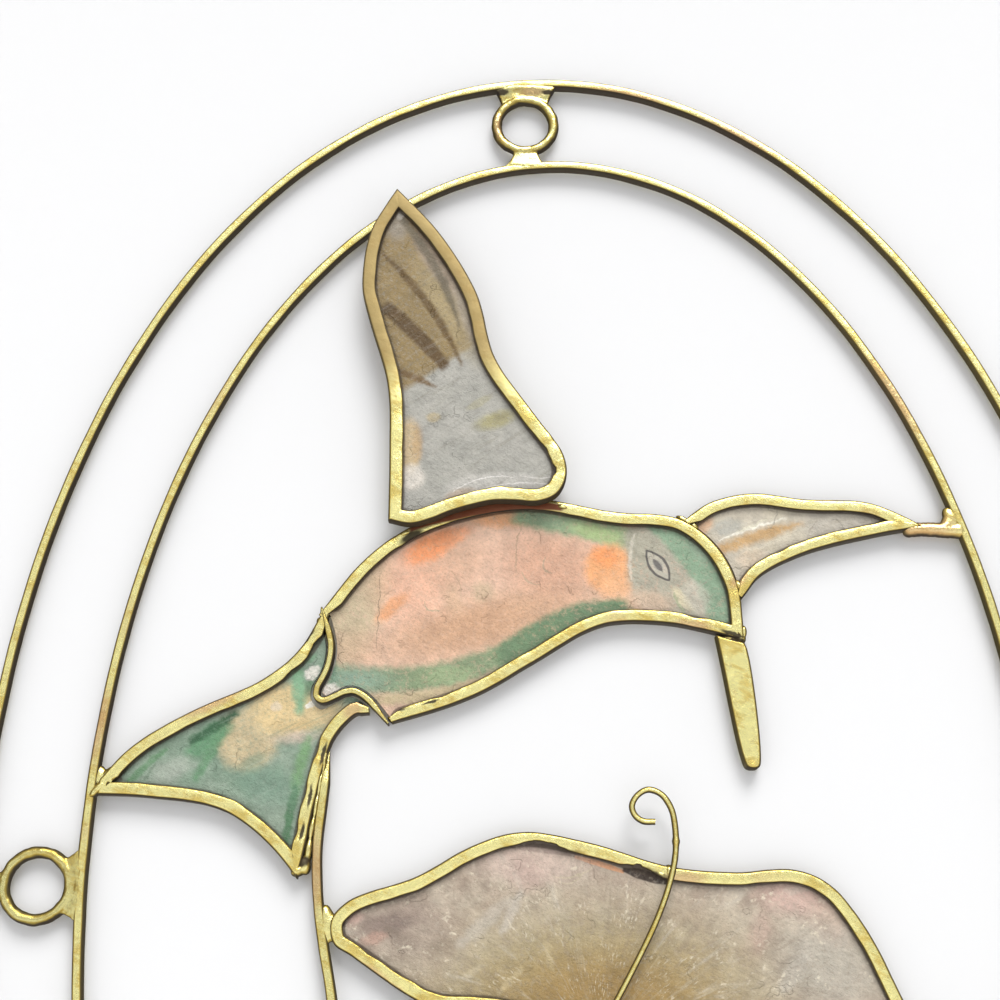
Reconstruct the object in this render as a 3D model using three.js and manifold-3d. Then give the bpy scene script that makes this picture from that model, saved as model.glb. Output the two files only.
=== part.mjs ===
// Capiz shell suncatcher: two brass ovals, with a hummingbird and a flower of painted shell inside them.
// Millimetres. It hangs upright: front towards -Y, +Z up, origin on the seat of the hook in the hanging ring.
import * as THREE from "three";
import { mergeVertices } from "three/addons/utils/BufferGeometryUtils.js";
import Module from "manifold-3d";

const wasm = await Module();
wasm.setup();

// Ovals of flat-sided wire, bent by hand, so each one leans a little
const INNER_HALF_WIDTH = 81.2;
const INNER_HALF_HEIGHT = 134.4;
const OVAL_SPACING = 18;
const INNER_LEAN = THREE.MathUtils.degToRad(-0.5);
const OUTER_LEAN = THREE.MathUtils.degToRad(0.7);
const OVAL_WIRE_WIDTH = 1.8;
const OVAL_WIRE_DEPTH = 2.6;
const OVAL_WIRE_ROUNDING = 0.4;
const OVAL_STEPS = 52;

// Round wire rings between the ovals, with feet of solder
const RING_HOLE_RADIUS = 4.6;
const RING_WIRE_DIAMETER = 1.9;
const RING_SIDES = 16;
const RING_WIRE_SIDES = 8;
const RING_FOOT_WIDTH = 4;
const RING_FOOT_DEPTH = 1.8;
const HANGING_RING_OFFSET = -4.5;
const SIDE_RING_SHIFT = 1.5;

// Came: a U shaped brass channel that holds the edge of a shell
const CAME_FACE = 2;
const CAME_WEB = 0.7;
const CAME_FLANGE = 0.7;
const CAME_END_GAP = 0.8;
const SHELL_THICKNESS = 0.8;
const SHELL_PLAY = 0.3;

// Space that two soldered pieces keep, filled by the solder
const SOLDER_GAP = 0.3;

// Other wires and strips
const DIVIDER_WIDTH = 1.1;
const DIVIDER_PROUD = 0.3;
const DIVIDER_TIP_TAPER = 4;
const TIP_SHARE = 0.15;
const STEM_WIDTH = 1.7;
const STEM_DEPTH = 2.4;
const TIE_WIDTH = 1.5;
const TIE_DEPTH = 1.2;
const STAMEN_DIAMETER = 0.95;
const STAMEN_SIDES = 6;
const BEAK_RIM = 0.6;
const BEAK_TROUGH_DEPTH = 0.8;

// Length of one step along an outline and along a thin wire, and the least steps for each given point
const OUTLINE_STEP = 4.4;
const WIRE_STEP = 1.6;
const STEPS_PER_POINT = 2;
const DISC_SIDES = 12;

// Smallest cosine that a mitred corner is drawn out to, and the share of an inset that a point must keep
const SHARPEST_MITRE = 0.25;
const INSET_TOLERANCE = 0.97;

// Depths worked out from the sizes above, measured from the middle of the back layer
const CAME_DEPTH = SHELL_THICKNESS + 2 * SHELL_PLAY + 2 * CAME_FLANGE;
const BACK_LAYER = CAME_DEPTH / 2;
const UPPER_WING_MIDDLE = -BACK_LAYER - SOLDER_GAP - CAME_DEPTH / 2;

// The ring's inside is a band of flats, and the hook bears on the middle of the top one
const RING_MIDDLE_RADIUS = RING_HOLE_RADIUS + RING_WIRE_DIAMETER / 2;
const HOOK_SEAT_HEIGHT = RING_HOLE_RADIUS * Math.cos(Math.PI / RING_SIDES);
const MID_HALF_WIDTH = INNER_HALF_WIDTH + OVAL_SPACING / 2;
const MID_HALF_HEIGHT = INNER_HALF_HEIGHT + OVAL_SPACING / 2;
const OVAL_CENTRE = new THREE.Vector2(-HANGING_RING_OFFSET, -HOOK_SEAT_HEIGHT - MID_HALF_HEIGHT);

const brass = new THREE.MeshStandardMaterial({ color: "#c9a44c", metalness: 1, roughness: 0.3 });
const copper = new THREE.MeshStandardMaterial({ color: "#b9855a", metalness: 1, roughness: 0.4 });
const wingShell = new THREE.MeshStandardMaterial({ color: "#b7ad98", metalness: 0, roughness: 0.35 });
const bodyShell = new THREE.MeshStandardMaterial({ color: "#cf9f7c", metalness: 0, roughness: 0.35 });
const tailShell = new THREE.MeshStandardMaterial({ color: "#8fa68a", metalness: 0, roughness: 0.35 });
const petalShell = new THREE.MeshStandardMaterial({ color: "#a7978a", metalness: 0, roughness: 0.3 });

// Outlines of the bird and the flower. A point is a share of the inner oval, in percent of its half width and
// half height from its centre. Each run of points is one smooth curve, and two runs meet in a corner.
const UPPER_WING = [
  [[-35.8, 95.2], [-26, 88.3], [-17.3, 78.9], [-13.3, 69.4], [-5.4, 61.8], [1.8, 55.1], [2.1, 51.8],
    [-0.9, 49.2], [-6.1, 48.6], [-11.8, 49], [-21.7, 47.8], [-31.3, 45.8]],
  [[-37, 46.4], [-36.9, 56], [-37.5, 65.6], [-42.1, 75.8], [-43.5, 79.8], [-41.9, 88.4]],
];
const TOP_OF_DIVIDER = [-51.3, 34.9];
const END_OF_DIVIDER = [-36.7, 19.8];
const DIVIDER = [
  [-49.7, 31.7], [-49.2, 29.5], [-50.3, 26.5], [-52.3, 24.2], [-51.4, 22.7], [-48.5, 23.3],
  [-45, 24.2], [-41.7, 23.3],
];
const BODY = [
  [TOP_OF_DIVIDER, [-43.1, 41.2], [-34.1, 45.5], [-21.3, 48.6], [-5.8, 49.9], [12.9, 47.9], [27, 46.9],
    [35.1, 43], [39.3, 37.5]],
  [[40, 30.2], [34.1, 31.2], [23.2, 32.6], [9.3, 32.4], [-4.4, 28], [-16.5, 23.8], [-26, 21.6]],
  [END_OF_DIVIDER, ...[...DIVIDER].reverse()],
];
const TAIL = [
  [TOP_OF_DIVIDER, ...DIVIDER],
  [END_OF_DIVIDER, [-42.3, 21.3], [-48.2, 18], [-51.4, 11.4], [-54.2, 3]],
  [[-55.3, 0.5], [-61.2, 4.7], [-71.5, 9.1], [-87.5, 10.8]],
  [[-100, 11.2], [-91.3, 17.1], [-79.4, 21.5], [-63.4, 25.9], [-55.6, 30]],
];
const FAR_WING = [
  [[27, 46], [33.4, 48.9], [43.2, 50.3], [55.1, 49.4], [68.8, 48.9], [76.5, 47]],
  [[81.1, 45.4], [70.2, 44.3], [54.3, 41.9], [44.1, 38.8], [38.5, 34.8]],
  [[34, 34], [30, 40]],
];
const FAR_WING_TIE = [[79.5, 45.4], [89, 45.1]];
const BEAK = [
  [[33.5, 32.6], [35, 27.1], [37.2, 20.4], [38.4, 14.8], [40.2, 13.3], [42, 14.6], [41.5, 18.5], [40.4, 27.1]],
  [[39.6, 33], [36.5, 33.4]],
];
const STEM = [
  [-49.3, 16.4], [-50.1, 11.5], [-51.2, 5.9], [-51.3, 0.8], [-49.8, -6.7], [-47.6, -13.9], [-44, -30],
  [-37.5, -50], [-28, -70], [-19, -86], [-12, -99.4],
];
const FLOWER_CENTRE = [5.9, -19.4];
const TOP_PETAL_LEFT = [[-47.6, -7.4], [-30, -14.4]];
const TOP_PETAL_LOWER_LEFT = [[-24.8, -15.3], [-13.5, -15.8]];
const TOP_PETAL_RIGHT_TIP = [72.5, -20.2];
const TOP_PETAL_LOWER_RIGHT = [[22, -17.4], [48, -20.6]];
const TOP_PETAL = [
  [...TOP_PETAL_LEFT],
  [...TOP_PETAL_LOWER_LEFT],
  [FLOWER_CENTRE, ...TOP_PETAL_LOWER_RIGHT],
  [TOP_PETAL_RIGHT_TIP, [68.1, -14.4], [62.2, -6.5], [54.7, -0.6], [47, 1.2], [36, 0.9], [21.9, 1.7],
    [6.1, 4.6], [-8.6, 6.1], [-18.8, 4.5], [-30.8, 0.7], [-44, -1.9], [-47.8, -3.9], [-48.6, -5.6]],
];
const LEFT_PETAL = [
  [FLOWER_CENTRE, ...[...TOP_PETAL_LOWER_LEFT].reverse()],
  [[-30, -14.4], [-36, -24], [-33, -38], [-22, -49], [-8, -54], [2, -52]],
  [[6, -46], [8.5, -34]],
];
const RIGHT_PETAL = [
  [FLOWER_CENTRE, [8.5, -34]],
  [[6, -46], [20, -58], [40, -62], [62, -56], [80, -44], [92.6, -34]],
  [[95.9, -25], [86, -19.5]],
  [TOP_PETAL_RIGHT_TIP, ...[...TOP_PETAL_LOWER_RIGHT].reverse()],
];
const STAMEN = [
  [5.9, -18.4], [12.2, -12.1], [18.7, -4.9], [21.8, -0.2], [23.1, 3.2], [23.2, 6.5], [22.5, 8.7],
  [20.6, 10.4], [17.9, 11], [15.6, 10.3], [14.4, 9], [15, 7.8], [16.6, 7.1], [19.1, 7],
];

// A share of the inner oval as a place in the part, x and z
function place([across, up]) {
  return new THREE.Vector2(
    OVAL_CENTRE.x + (across / 100) * INNER_HALF_WIDTH,
    OVAL_CENTRE.y + (up / 100) * INNER_HALF_HEIGHT,
  );
}

// Points along one smooth curve, both ends kept, with shorter steps where the given points lie close together
function smooth(points, step) {
  if (points.length === 2) return points;
  const curve = new THREE.CatmullRomCurve3(
    points.map((p) => new THREE.Vector3(p.x, p.y, 0)),
    false,
    "centripetal",
  );
  const steps = Math.max(STEPS_PER_POINT * points.length, Math.round(curve.getLength() / step));
  return curve.getSpacedPoints(steps).map((p) => new THREE.Vector2(p.x, p.y));
}

// Closed outline from runs that meet in corners, counter-clockwise
function outline(runs) {
  const points = runs.flatMap((run, i) => {
    const next = runs[(i + 1) % runs.length][0];
    return smooth([...run, next].map(place), OUTLINE_STEP).slice(0, -1);
  });
  return THREE.ShapeUtils.isClockWise(points) ? points.reverse() : points;
}

// Distance from a point to a closed outline
function distanceTo(points, p) {
  const nearest = new THREE.Vector3();
  return Math.min(
    ...points.map((a, i) => {
      const b = points[(i + 1) % points.length];
      const edge = new THREE.Line3(new THREE.Vector3(a.x, a.y, 0), new THREE.Vector3(b.x, b.y, 0));
      edge.closestPointToPoint(new THREE.Vector3(p.x, p.y, 0), true, nearest);
      return Math.hypot(nearest.x - p.x, nearest.y - p.y);
    }),
  );
}

// The outline moved inwards by a distance, or outwards by a negative one, with mitred corners.
// Points that a tight corner would push through the other side are left out.
function inset(points, distance) {
  const normalOf = (a, b) => new THREE.Vector2(a.y - b.y, b.x - a.x).normalize();
  const moved = points.map((p, i) => {
    const before = normalOf(points[(i + points.length - 1) % points.length], p);
    const after = normalOf(p, points[(i + 1) % points.length]);
    const mitre = before.clone().add(after).normalize();
    return p.clone().addScaledVector(mitre, distance / Math.max(mitre.dot(after), SHARPEST_MITRE));
  });
  return moved.filter((p) => distanceTo(points, p) > INSET_TOLERANCE * Math.abs(distance));
}

// A plate in the plane of the ovals, from its outline and holes, centred on a depth
function plate(points, middle, depth, { holes = [], rounding = 0 } = {}) {
  const shape = new THREE.Shape(rounding ? inset(points, rounding) : points);
  shape.holes = holes.map((hole) => new THREE.Path(rounding ? inset(hole, -rounding) : hole));
  const geometry = new THREE.ExtrudeGeometry(shape, {
    depth: depth - 2 * rounding,
    bevelEnabled: rounding > 0,
    bevelThickness: rounding,
    bevelSize: rounding,
    bevelSegments: 1,
  });
  return geometry.rotateX(Math.PI / 2).translate(0, middle + depth / 2 - rounding, 0);
}

// A flat strip along a line of points, pointed at both ends where a taper is given
function stripOutline(line, width, taper = 0) {
  const lengths = line.map((p, i) => (i ? p.distanceTo(line[i - 1]) : 0));
  const along = lengths.map((_, i) => lengths.slice(0, i + 1).reduce((sum, l) => sum + l, 0));
  const total = along.at(-1);
  const sides = line.map((p, i) => {
    const direction = line[Math.min(i + 1, line.length - 1)].clone().sub(line[Math.max(i - 1, 0)]).normalize();
    const toEnd = Math.min(along[i], total - along[i]);
    const share = taper ? THREE.MathUtils.lerp(TIP_SHARE, 1, Math.min(1, toEnd / taper)) : 1;
    const half = (width / 2) * share;
    return new THREE.Vector2(-direction.y, direction.x).multiplyScalar(half);
  });
  const left = line.map((p, i) => p.clone().add(sides[i]));
  const right = line.map((p, i) => p.clone().sub(sides[i]));
  const points = [...left, ...right.reverse()];
  return THREE.ShapeUtils.isClockWise(points) ? points.reverse() : points;
}

function solid(geometry) {
  geometry.deleteAttribute("normal");
  geometry.deleteAttribute("uv");
  const merged = mergeVertices(geometry, 1e-4);
  return new wasm.Manifold(
    new wasm.Mesh({
      numProp: 3,
      vertProperties: merged.getAttribute("position").array,
      triVerts: new Uint32Array(merged.index.array),
    }),
  );
}

function meshOf(name, shape, material) {
  const data = shape.getMesh();
  const geometry = new THREE.BufferGeometry();
  geometry.setAttribute("position", new THREE.BufferAttribute(data.vertProperties, 3));
  geometry.setIndex(new THREE.BufferAttribute(data.triVerts, 1));
  geometry.computeVertexNormals();
  const mesh = new THREE.Mesh(geometry, material);
  mesh.name = name;
  return mesh;
}

// Points of a leaning oval, counter-clockwise
function oval(halfWidth, halfHeight, lean) {
  const curve = new THREE.EllipseCurve(0, 0, halfWidth, halfHeight, 0, 2 * Math.PI, false, lean);
  return curve.getSpacedPoints(OVAL_STEPS).slice(0, -1).map((p) => p.add(OVAL_CENTRE));
}

function ovalWire(centreLine, width, depth, rounding) {
  const outside = inset(centreLine, -width / 2);
  const inside = inset(centreLine, width / 2);
  return solid(plate(outside, 0, depth, { holes: [inside], rounding }));
}

const innerLine = oval(INNER_HALF_WIDTH, INNER_HALF_HEIGHT, INNER_LEAN);
const outerLine = oval(INNER_HALF_WIDTH + OVAL_SPACING, INNER_HALF_HEIGHT + OVAL_SPACING, OUTER_LEAN);
const WIDE_WIRE = OVAL_WIRE_WIDTH + 2 * SOLDER_GAP;
const ALL_DEPTH = 4 * CAME_DEPTH;
const innerRoom = ovalWire(innerLine, WIDE_WIRE, ALL_DEPTH, 0);
const outerRoom = ovalWire(outerLine, WIDE_WIRE, ALL_DEPTH, 0);

function ovals() {
  const wire = (line) => ovalWire(line, OVAL_WIRE_WIDTH, OVAL_WIRE_DEPTH, OVAL_WIRE_ROUNDING);
  return [
    meshOf("outer_oval", wire(outerLine), brass),
    meshOf("inner_oval", wire(innerLine), brass),
  ];
}

// Ring with a flat inside, and a foot of solder towards each oval
function ring(name, centre, outwards, toOuter, toInner) {
  const wireRadius = RING_WIRE_DIAMETER / 2 / Math.cos(Math.PI / RING_WIRE_SIDES);
  const section = Array.from({ length: RING_WIRE_SIDES + 1 }, (_, i) => {
    const turn = ((i + 0.5) / RING_WIRE_SIDES) * 2 * Math.PI;
    return new THREE.Vector2(RING_MIDDLE_RADIUS + wireRadius * Math.cos(turn), wireRadius * Math.sin(turn));
  });
  const wire = new THREE.LatheGeometry(section, RING_SIDES, -Math.PI / RING_SIDES, 2 * Math.PI);
  const foot = (direction, reach) => {
    const from = centre.clone().addScaledVector(direction, RING_MIDDLE_RADIUS);
    const to = centre.clone().addScaledVector(direction, reach);
    return solid(plate(stripOutline([from, to], RING_FOOT_WIDTH), 0, RING_FOOT_DEPTH));
  };
  const shape = solid(wire.translate(centre.x, 0, centre.y))
    .add(foot(outwards, toOuter))
    .add(foot(outwards.clone().negate(), toInner))
    .subtract(innerRoom)
    .subtract(outerRoom);
  return meshOf(name, shape, brass);
}

function rings() {
  const half = OVAL_SPACING / 2;
  const right = new THREE.Vector2(1, 0);
  const up = new THREE.Vector2(0, 1);
  const at = (x, z) => new THREE.Vector2(x, z).add(OVAL_CENTRE);
  const side = MID_HALF_WIDTH - SIDE_RING_SHIFT;
  const toOuter = half + SIDE_RING_SHIFT;
  const toInner = half - SIDE_RING_SHIFT;
  return [
    ring("hanging_ring", at(HANGING_RING_OFFSET, MID_HALF_HEIGHT), up, half, half),
    ring("left_ring", at(-side, 0), right.clone().negate(), toOuter, toInner),
    ring("right_ring", at(side, 0), right, toOuter, toInner),
    ring("bottom_ring", at(0, -MID_HALF_HEIGHT), up.clone().negate(), half, half),
  ];
}

// Came all round an outline: the U is a band of its full depth, less the groove for the shell
function came(points, middle) {
  const band = solid(plate(points, middle, CAME_DEPTH, { holes: [inset(points, CAME_FACE)] }));
  const groove = solid(plate(inset(points, CAME_WEB), middle, CAME_DEPTH - 2 * CAME_FLANGE));
  return band.subtract(groove);
}

function shell(points, middle) {
  return solid(plate(inset(points, CAME_WEB + SHELL_PLAY), middle, SHELL_THICKNESS));
}

// A framed shell: its came and shell, both cut back from the solids that they meet
function framed(name, points, middle, shellMaterial, cuts = []) {
  const trim = (shape) => cuts.reduce((rest, cut) => rest.subtract(cut), shape);
  return [
    meshOf(name + "_frame", trim(came(points, middle)), brass),
    meshOf(name + "_shell", trim(shell(points, middle)), shellMaterial),
  ];
}

// The room that a framed piece takes, with the solder gap round it
function roomOf(points) {
  return solid(plate(inset(points, -SOLDER_GAP), 0, ALL_DEPTH));
}

const dividerLine = smooth([TOP_OF_DIVIDER, ...DIVIDER, END_OF_DIVIDER].map(place), WIRE_STEP);
const dividerSlot = solid(plate(stripOutline(dividerLine, DIVIDER_WIDTH + 2 * SOLDER_GAP), 0, ALL_DEPTH));
const bodyPoints = outline(BODY);
const tailPoints = outline(TAIL);
const farWingPoints = outline(FAR_WING);
const PETAL_SEAM = SOLDER_GAP / 2;
const topPetalPoints = inset(outline(TOP_PETAL), PETAL_SEAM);
const stemLine = smooth(STEM.map(place), OUTLINE_STEP);
const stemRoom = solid(plate(stripOutline(stemLine, STEM_WIDTH + 2 * SOLDER_GAP), 0, ALL_DEPTH));

function bird() {
  // The cames stop at the divider, and the shells run up to it
  const discs = dividerLine.map((p) => {
    const radius = CAME_FACE + CAME_END_GAP;
    const disc = new THREE.CylinderGeometry(radius, radius, ALL_DEPTH, DISC_SIDES);
    return solid(disc.translate(p.x, 0, p.y));
  });
  const openEnd = discs.reduce((room, disc) => room.add(disc));
  const headRoom = roomOf(bodyPoints);
  const bodyParts = [
    meshOf("body_frame", came(bodyPoints, 0).subtract(openEnd), brass),
    meshOf("body_shell", shell(bodyPoints, 0).subtract(dividerSlot), bodyShell),
    meshOf("tail_frame", came(tailPoints, 0).subtract(openEnd).subtract(innerRoom).subtract(stemRoom), brass),
    meshOf("tail_shell", shell(tailPoints, 0).subtract(dividerSlot).subtract(innerRoom), tailShell),
  ];
  const divider = plate(
    stripOutline(dividerLine, DIVIDER_WIDTH, DIVIDER_TIP_TAPER),
    -DIVIDER_PROUD / 2,
    CAME_DEPTH + DIVIDER_PROUD,
  );
  const beakPoints = outline(BEAK);
  const trough = plate(inset(beakPoints, BEAK_RIM), -BACK_LAYER, 2 * BEAK_TROUGH_DEPTH);
  const beak = solid(plate(beakPoints, 0, CAME_DEPTH)).subtract(solid(trough)).subtract(headRoom);
  const tieOutline = stripOutline(FAR_WING_TIE.map(place), TIE_WIDTH);
  const tie = solid(plate(tieOutline, 0, TIE_DEPTH)).subtract(roomOf(farWingPoints)).subtract(innerRoom);
  return [
    ...framed("upper_wing", outline(UPPER_WING), UPPER_WING_MIDDLE, wingShell),
    ...bodyParts,
    meshOf("tail_divider", solid(divider), brass),
    ...framed("far_wing", farWingPoints, 0, wingShell, [headRoom]),
    meshOf("far_wing_tie", tie, copper),
    meshOf("beak", beak, brass),
  ];
}

function flower() {
  const lowerPetal = (name, runs) =>
    framed(name, inset(outline(runs), PETAL_SEAM), 0, petalShell, [innerRoom, stemRoom]);
  const stem = solid(plate(stripOutline(stemLine, STEM_WIDTH), 0, STEM_DEPTH)).subtract(innerRoom);
  const line = new THREE.CatmullRomCurve3(
    STAMEN.map(place).map((p) => new THREE.Vector3(p.x, -BACK_LAYER - SOLDER_GAP - STAMEN_DIAMETER / 2, p.y)),
    false,
    "centripetal",
  );
  const section = new THREE.Shape(
    Array.from({ length: STAMEN_SIDES }, (_, i) => {
      const turn = (i / STAMEN_SIDES) * 2 * Math.PI;
      return new THREE.Vector2(Math.cos(turn), Math.sin(turn)).multiplyScalar(STAMEN_DIAMETER / 2);
    }),
  );
  const stamen = new THREE.ExtrudeGeometry(section, {
    steps: Math.round(line.getLength() / WIRE_STEP),
    extrudePath: line,
  });
  return [
    meshOf("stem", stem, brass),
    ...framed("top_petal", topPetalPoints, 0, petalShell, [stemRoom]),
    ...lowerPetal("left_petal", LEFT_PETAL),
    ...lowerPetal("right_petal", RIGHT_PETAL),
    meshOf("stamen", solid(stamen), brass),
  ];
}

const suncatcher = new THREE.Group();
suncatcher.add(...ovals(), ...rings(), ...bird(), ...flower());

export default suncatcher;
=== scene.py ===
import math

import bmesh
import bpy
from bpy.props import FloatProperty, FloatVectorProperty, PointerProperty
from mathutils import Matrix, Vector, noise
from mathutils.geometry import convex_hull_2d


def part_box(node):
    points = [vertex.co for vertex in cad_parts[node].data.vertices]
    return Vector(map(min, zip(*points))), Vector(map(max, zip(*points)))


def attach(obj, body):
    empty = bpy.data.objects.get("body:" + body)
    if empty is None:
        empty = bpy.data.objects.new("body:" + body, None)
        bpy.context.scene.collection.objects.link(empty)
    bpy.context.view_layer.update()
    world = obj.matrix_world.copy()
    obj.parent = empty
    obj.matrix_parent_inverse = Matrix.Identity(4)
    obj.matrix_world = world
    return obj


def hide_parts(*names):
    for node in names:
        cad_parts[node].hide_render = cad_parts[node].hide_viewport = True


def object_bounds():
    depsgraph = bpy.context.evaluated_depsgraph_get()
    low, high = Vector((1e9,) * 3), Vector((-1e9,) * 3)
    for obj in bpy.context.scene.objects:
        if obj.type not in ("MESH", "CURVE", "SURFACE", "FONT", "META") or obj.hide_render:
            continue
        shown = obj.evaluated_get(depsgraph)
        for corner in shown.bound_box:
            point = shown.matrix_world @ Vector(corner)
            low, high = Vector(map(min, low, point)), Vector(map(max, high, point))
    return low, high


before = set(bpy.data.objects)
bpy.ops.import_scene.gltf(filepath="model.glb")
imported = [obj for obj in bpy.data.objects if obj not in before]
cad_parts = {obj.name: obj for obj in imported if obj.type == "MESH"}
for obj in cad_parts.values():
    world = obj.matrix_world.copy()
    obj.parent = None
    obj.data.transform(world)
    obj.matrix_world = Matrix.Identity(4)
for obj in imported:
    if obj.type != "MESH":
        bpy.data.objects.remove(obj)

bl_info = {
    "name": "Capiz shell suncatcher",
    "version": (1, 0, 0),
    "blender": (4, 5, 0),
    "location": "View3D > Sidebar > Suncatcher",
    "description": "Dresses the frame with bent brass cames, soldered joints and painted shell",
    "category": "Object",
}

# The frame's box, its only body, and a millimetre in metres
CAD_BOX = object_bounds()
BODY = "root"
MM = 0.001

# Attribute with the distance from the lip of a shell's came, in millimetres
RIM = "rim"

# Distances in millimetres that tell a node's own points from rounding
SAME_PLACE = 0.002
WELD = 0.012
PLANE_PLAY = 0.02

# A corner of an outline turns by at least this much, and its neighbours by a small share of that
CORNER_TURN = math.radians(38)
CORNER_ALONE = 0.5
BLUNT_TIP = 3.0

# How far from a corner its mitre can cut the came
MITRE_REACH = 9.0

# Points of a came's outline that lie further than this from its shell are on the outer edge
OFF_SHELL = 0.88

# Points along the middle line of a strip, and points between two neighbours on a smooth curve
STRIP_POINTS = 40
CURVE_POINTS = 8

# Places and sizes that pieces share, across and up in millimetres
FLOWER_CENTRE = (9.3, -174.0)
INNER_OVAL_HALF = (81.2, 134.4)
RING_HOLE = 4.6

# Half widths of the rings' solder feet, at the ring and at the oval
BROAD_FOOT = (4.4, 6.0)
SLIM_FOOT = (2.1, 4.2)

# The stage, in metres: the wall stands this far behind the object and the floor this far below it
WALL_BEHIND = 0.0003
FLOOR_BELOW = 0.03
STAGE_SIZE = 1.6

# The camera: place in millimetres, width of the sensor, and focal length as a share of that
CAMERA_PLACE = (-5.63, -270.0, -163.3)
CAMERA_TILT = math.radians(17.0)
CAMERA_ROLL = math.radians(-0.5676)
SENSOR = 36.0
FOCAL_SHARE = 1.56


def rgb(red, green, blue):
    """A colour as a painter would read it off a chart, made linear."""
    def linear(level):
        level /= 255
        return level / 12.92 if level <= 0.04045 else ((level + 0.055) / 1.055) ** 2.4
    return (linear(red), linear(green), linear(blue), 1)


# Settings

def length(name, description, value):
    return FloatProperty(name=name, description=description, default=value * MM, unit="LENGTH", precision=5)


def colour(name, description, value):
    return FloatVectorProperty(name=name, description=description, default=value[:3], subtype="COLOR",
                               min=0, max=1)


class CameSettings(bpy.types.PropertyGroup):
    face: length("Face", "Width of the came's front face", 2.2)
    wing_face: length("Wing face", "Width of the raised wing's came", 2.5)
    depth: length("Depth", "Depth of the came from front to back", 2.8)
    groove_wall: length("Groove wall", "Thickness of brass behind the groove", 0.7)
    groove: length("Groove", "Width of the groove that holds the shell", 1.2)
    outer_round: length("Outer rounding", "Radius of the came's outer edges", 0.5)
    lip_round: length("Lip rounding", "Radius of the lips over the shell", 0.28)
    unevenness: length("Unevenness", "How far the hand bent lip strays", 0.16)
    dents: length("Dents", "Depth of the small dents in the face", 0.07)
    step: length("Step", "Length of one step along the came", 0.5)


class WireSettings(bpy.types.PropertyGroup):
    oval_width: length("Oval wire width", "Width of the ovals' wire, seen from the front", 1.8)
    oval_depth: length("Oval wire depth", "Depth of the ovals' wire", 2.15)
    oval_round: length("Oval wire rounding", "Radius of the ovals' edges", 0.5)
    stem_width: length("Stem width", "Width of the stem", 1.7)
    stem_depth: length("Stem depth", "Depth of the stem", 2.4)
    divider_width: length("Divider width", "Thickness of the strip between body and tail", 1.1)
    stamen: length("Stamen", "Thickness of the stamen's wire", 1.08)
    ring_wire: length("Ring wire", "Thickness of the wire of the rings", 1.9)
    solder_grain: length("Solder grain", "Size of the cells that the solder is fused from", 0.18)


class ShellSettings(bpy.types.PropertyGroup):
    cell: length("Cell", "Size of one cell of a shell's surface", 0.8)
    ripple: length("Ripple", "Height of the shell's slow ripples", 0.09)
    ridge: length("Ridge", "Height of the shell's growth ridges", 0.03)
    coat: FloatProperty(name="Polish", description="Strength of the shell's clear polish", default=0.22,
                        min=0, max=1, subtype="FACTOR")


class FinishSettings(bpy.types.PropertyGroup):
    brass: colour("Brass", "Clean brass of faces and wires", (0.84, 0.66, 0.20))
    # Pale brass: rubbed places and painted highlights
    pale: colour("Pale brass", "Rubbed places", (1.0, 0.92, 0.40))
    # Darker gold where the faces round off towards the walls: painted shade
    edge_shade_gold: colour("Gilt", "Golden brass beside the dark rims", (0.60, 0.42, 0.07))
    ochre: colour("Ochre", "Dulled brass", (0.46, 0.31, 0.10))
    copper: colour("Heat tint", "Pink places that the torch has left", (0.70, 0.40, 0.24))
    # Olive brown: patina in pits, and patina with painted shade on the walls
    patina_and_shade: colour("Patina", "Olive brown on walls and in hollows", (0.085, 0.066, 0.025))
    # Near black: soot, and painted shade in openings and on walls facing down
    soot_and_shade: colour("Soot", "Near black in torn places", (0.022, 0.013, 0.008))


class StageSettings(bpy.types.PropertyGroup):
    sun: FloatProperty(name="Key light", description="Strength of the soft key light", default=2.25, min=0)
    spread: FloatProperty(name="Key spread", description="Apparent size of the key light",
                          default=math.radians(34), subtype="ANGLE")
    front: FloatProperty(name="Front glow", description="Brightness of the room in front and above",
                         default=1.2, min=0)
    back: FloatProperty(name="Back glow", description="Brightness of the room behind and below",
                        default=0.07, min=0)


# Outlines, read from the frame

def front_loops(node):
    """Outlines of a node's front plane as lists of (x, z) in millimetres, longest first."""
    mesh = bmesh.new()
    mesh.from_mesh(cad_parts[node].data)
    bmesh.ops.scale(mesh, vec=(1 / MM, 1 / MM, 1 / MM), verts=mesh.verts)
    bmesh.ops.remove_doubles(mesh, verts=mesh.verts, dist=SAME_PLACE)
    mesh.normal_update()
    front = min(vert.co.y for vert in mesh.verts)
    faces = {face for face in mesh.faces if all(vert.co.y < front + PLANE_PLAY for vert in face.verts)}
    beside = {}
    for edge in mesh.edges:
        if sum(face in faces for face in edge.link_faces) == 1:
            first, second = edge.verts
            beside.setdefault(first.index, []).append(second.index)
            beside.setdefault(second.index, []).append(first.index)
    mesh.verts.ensure_lookup_table()
    loops = []
    left = set(beside)
    while left:
        walk = [min(left)]
        left.discard(walk[0])
        while True:
            onward = [index for index in beside[walk[-1]] if index in left]
            if not onward:
                break
            walk.append(onward[0])
            left.discard(onward[0])
        loops.append([Vector((mesh.verts[i].co.x, mesh.verts[i].co.z)) for i in walk])
    mesh.free()
    loops = [anticlockwise(spaced_out(loop)) for loop in loops if len(loop) > 2]
    return sorted(loops, key=path_length, reverse=True)


def spaced_out(points, least=0.12):
    """A loop without points that nearly fall together."""
    kept = []
    for point in points:
        if not kept or (point - kept[-1]).length > least:
            kept.append(point)
    while len(kept) > 3 and (kept[0] - kept[-1]).length <= least:
        kept.pop()
    return kept


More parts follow.
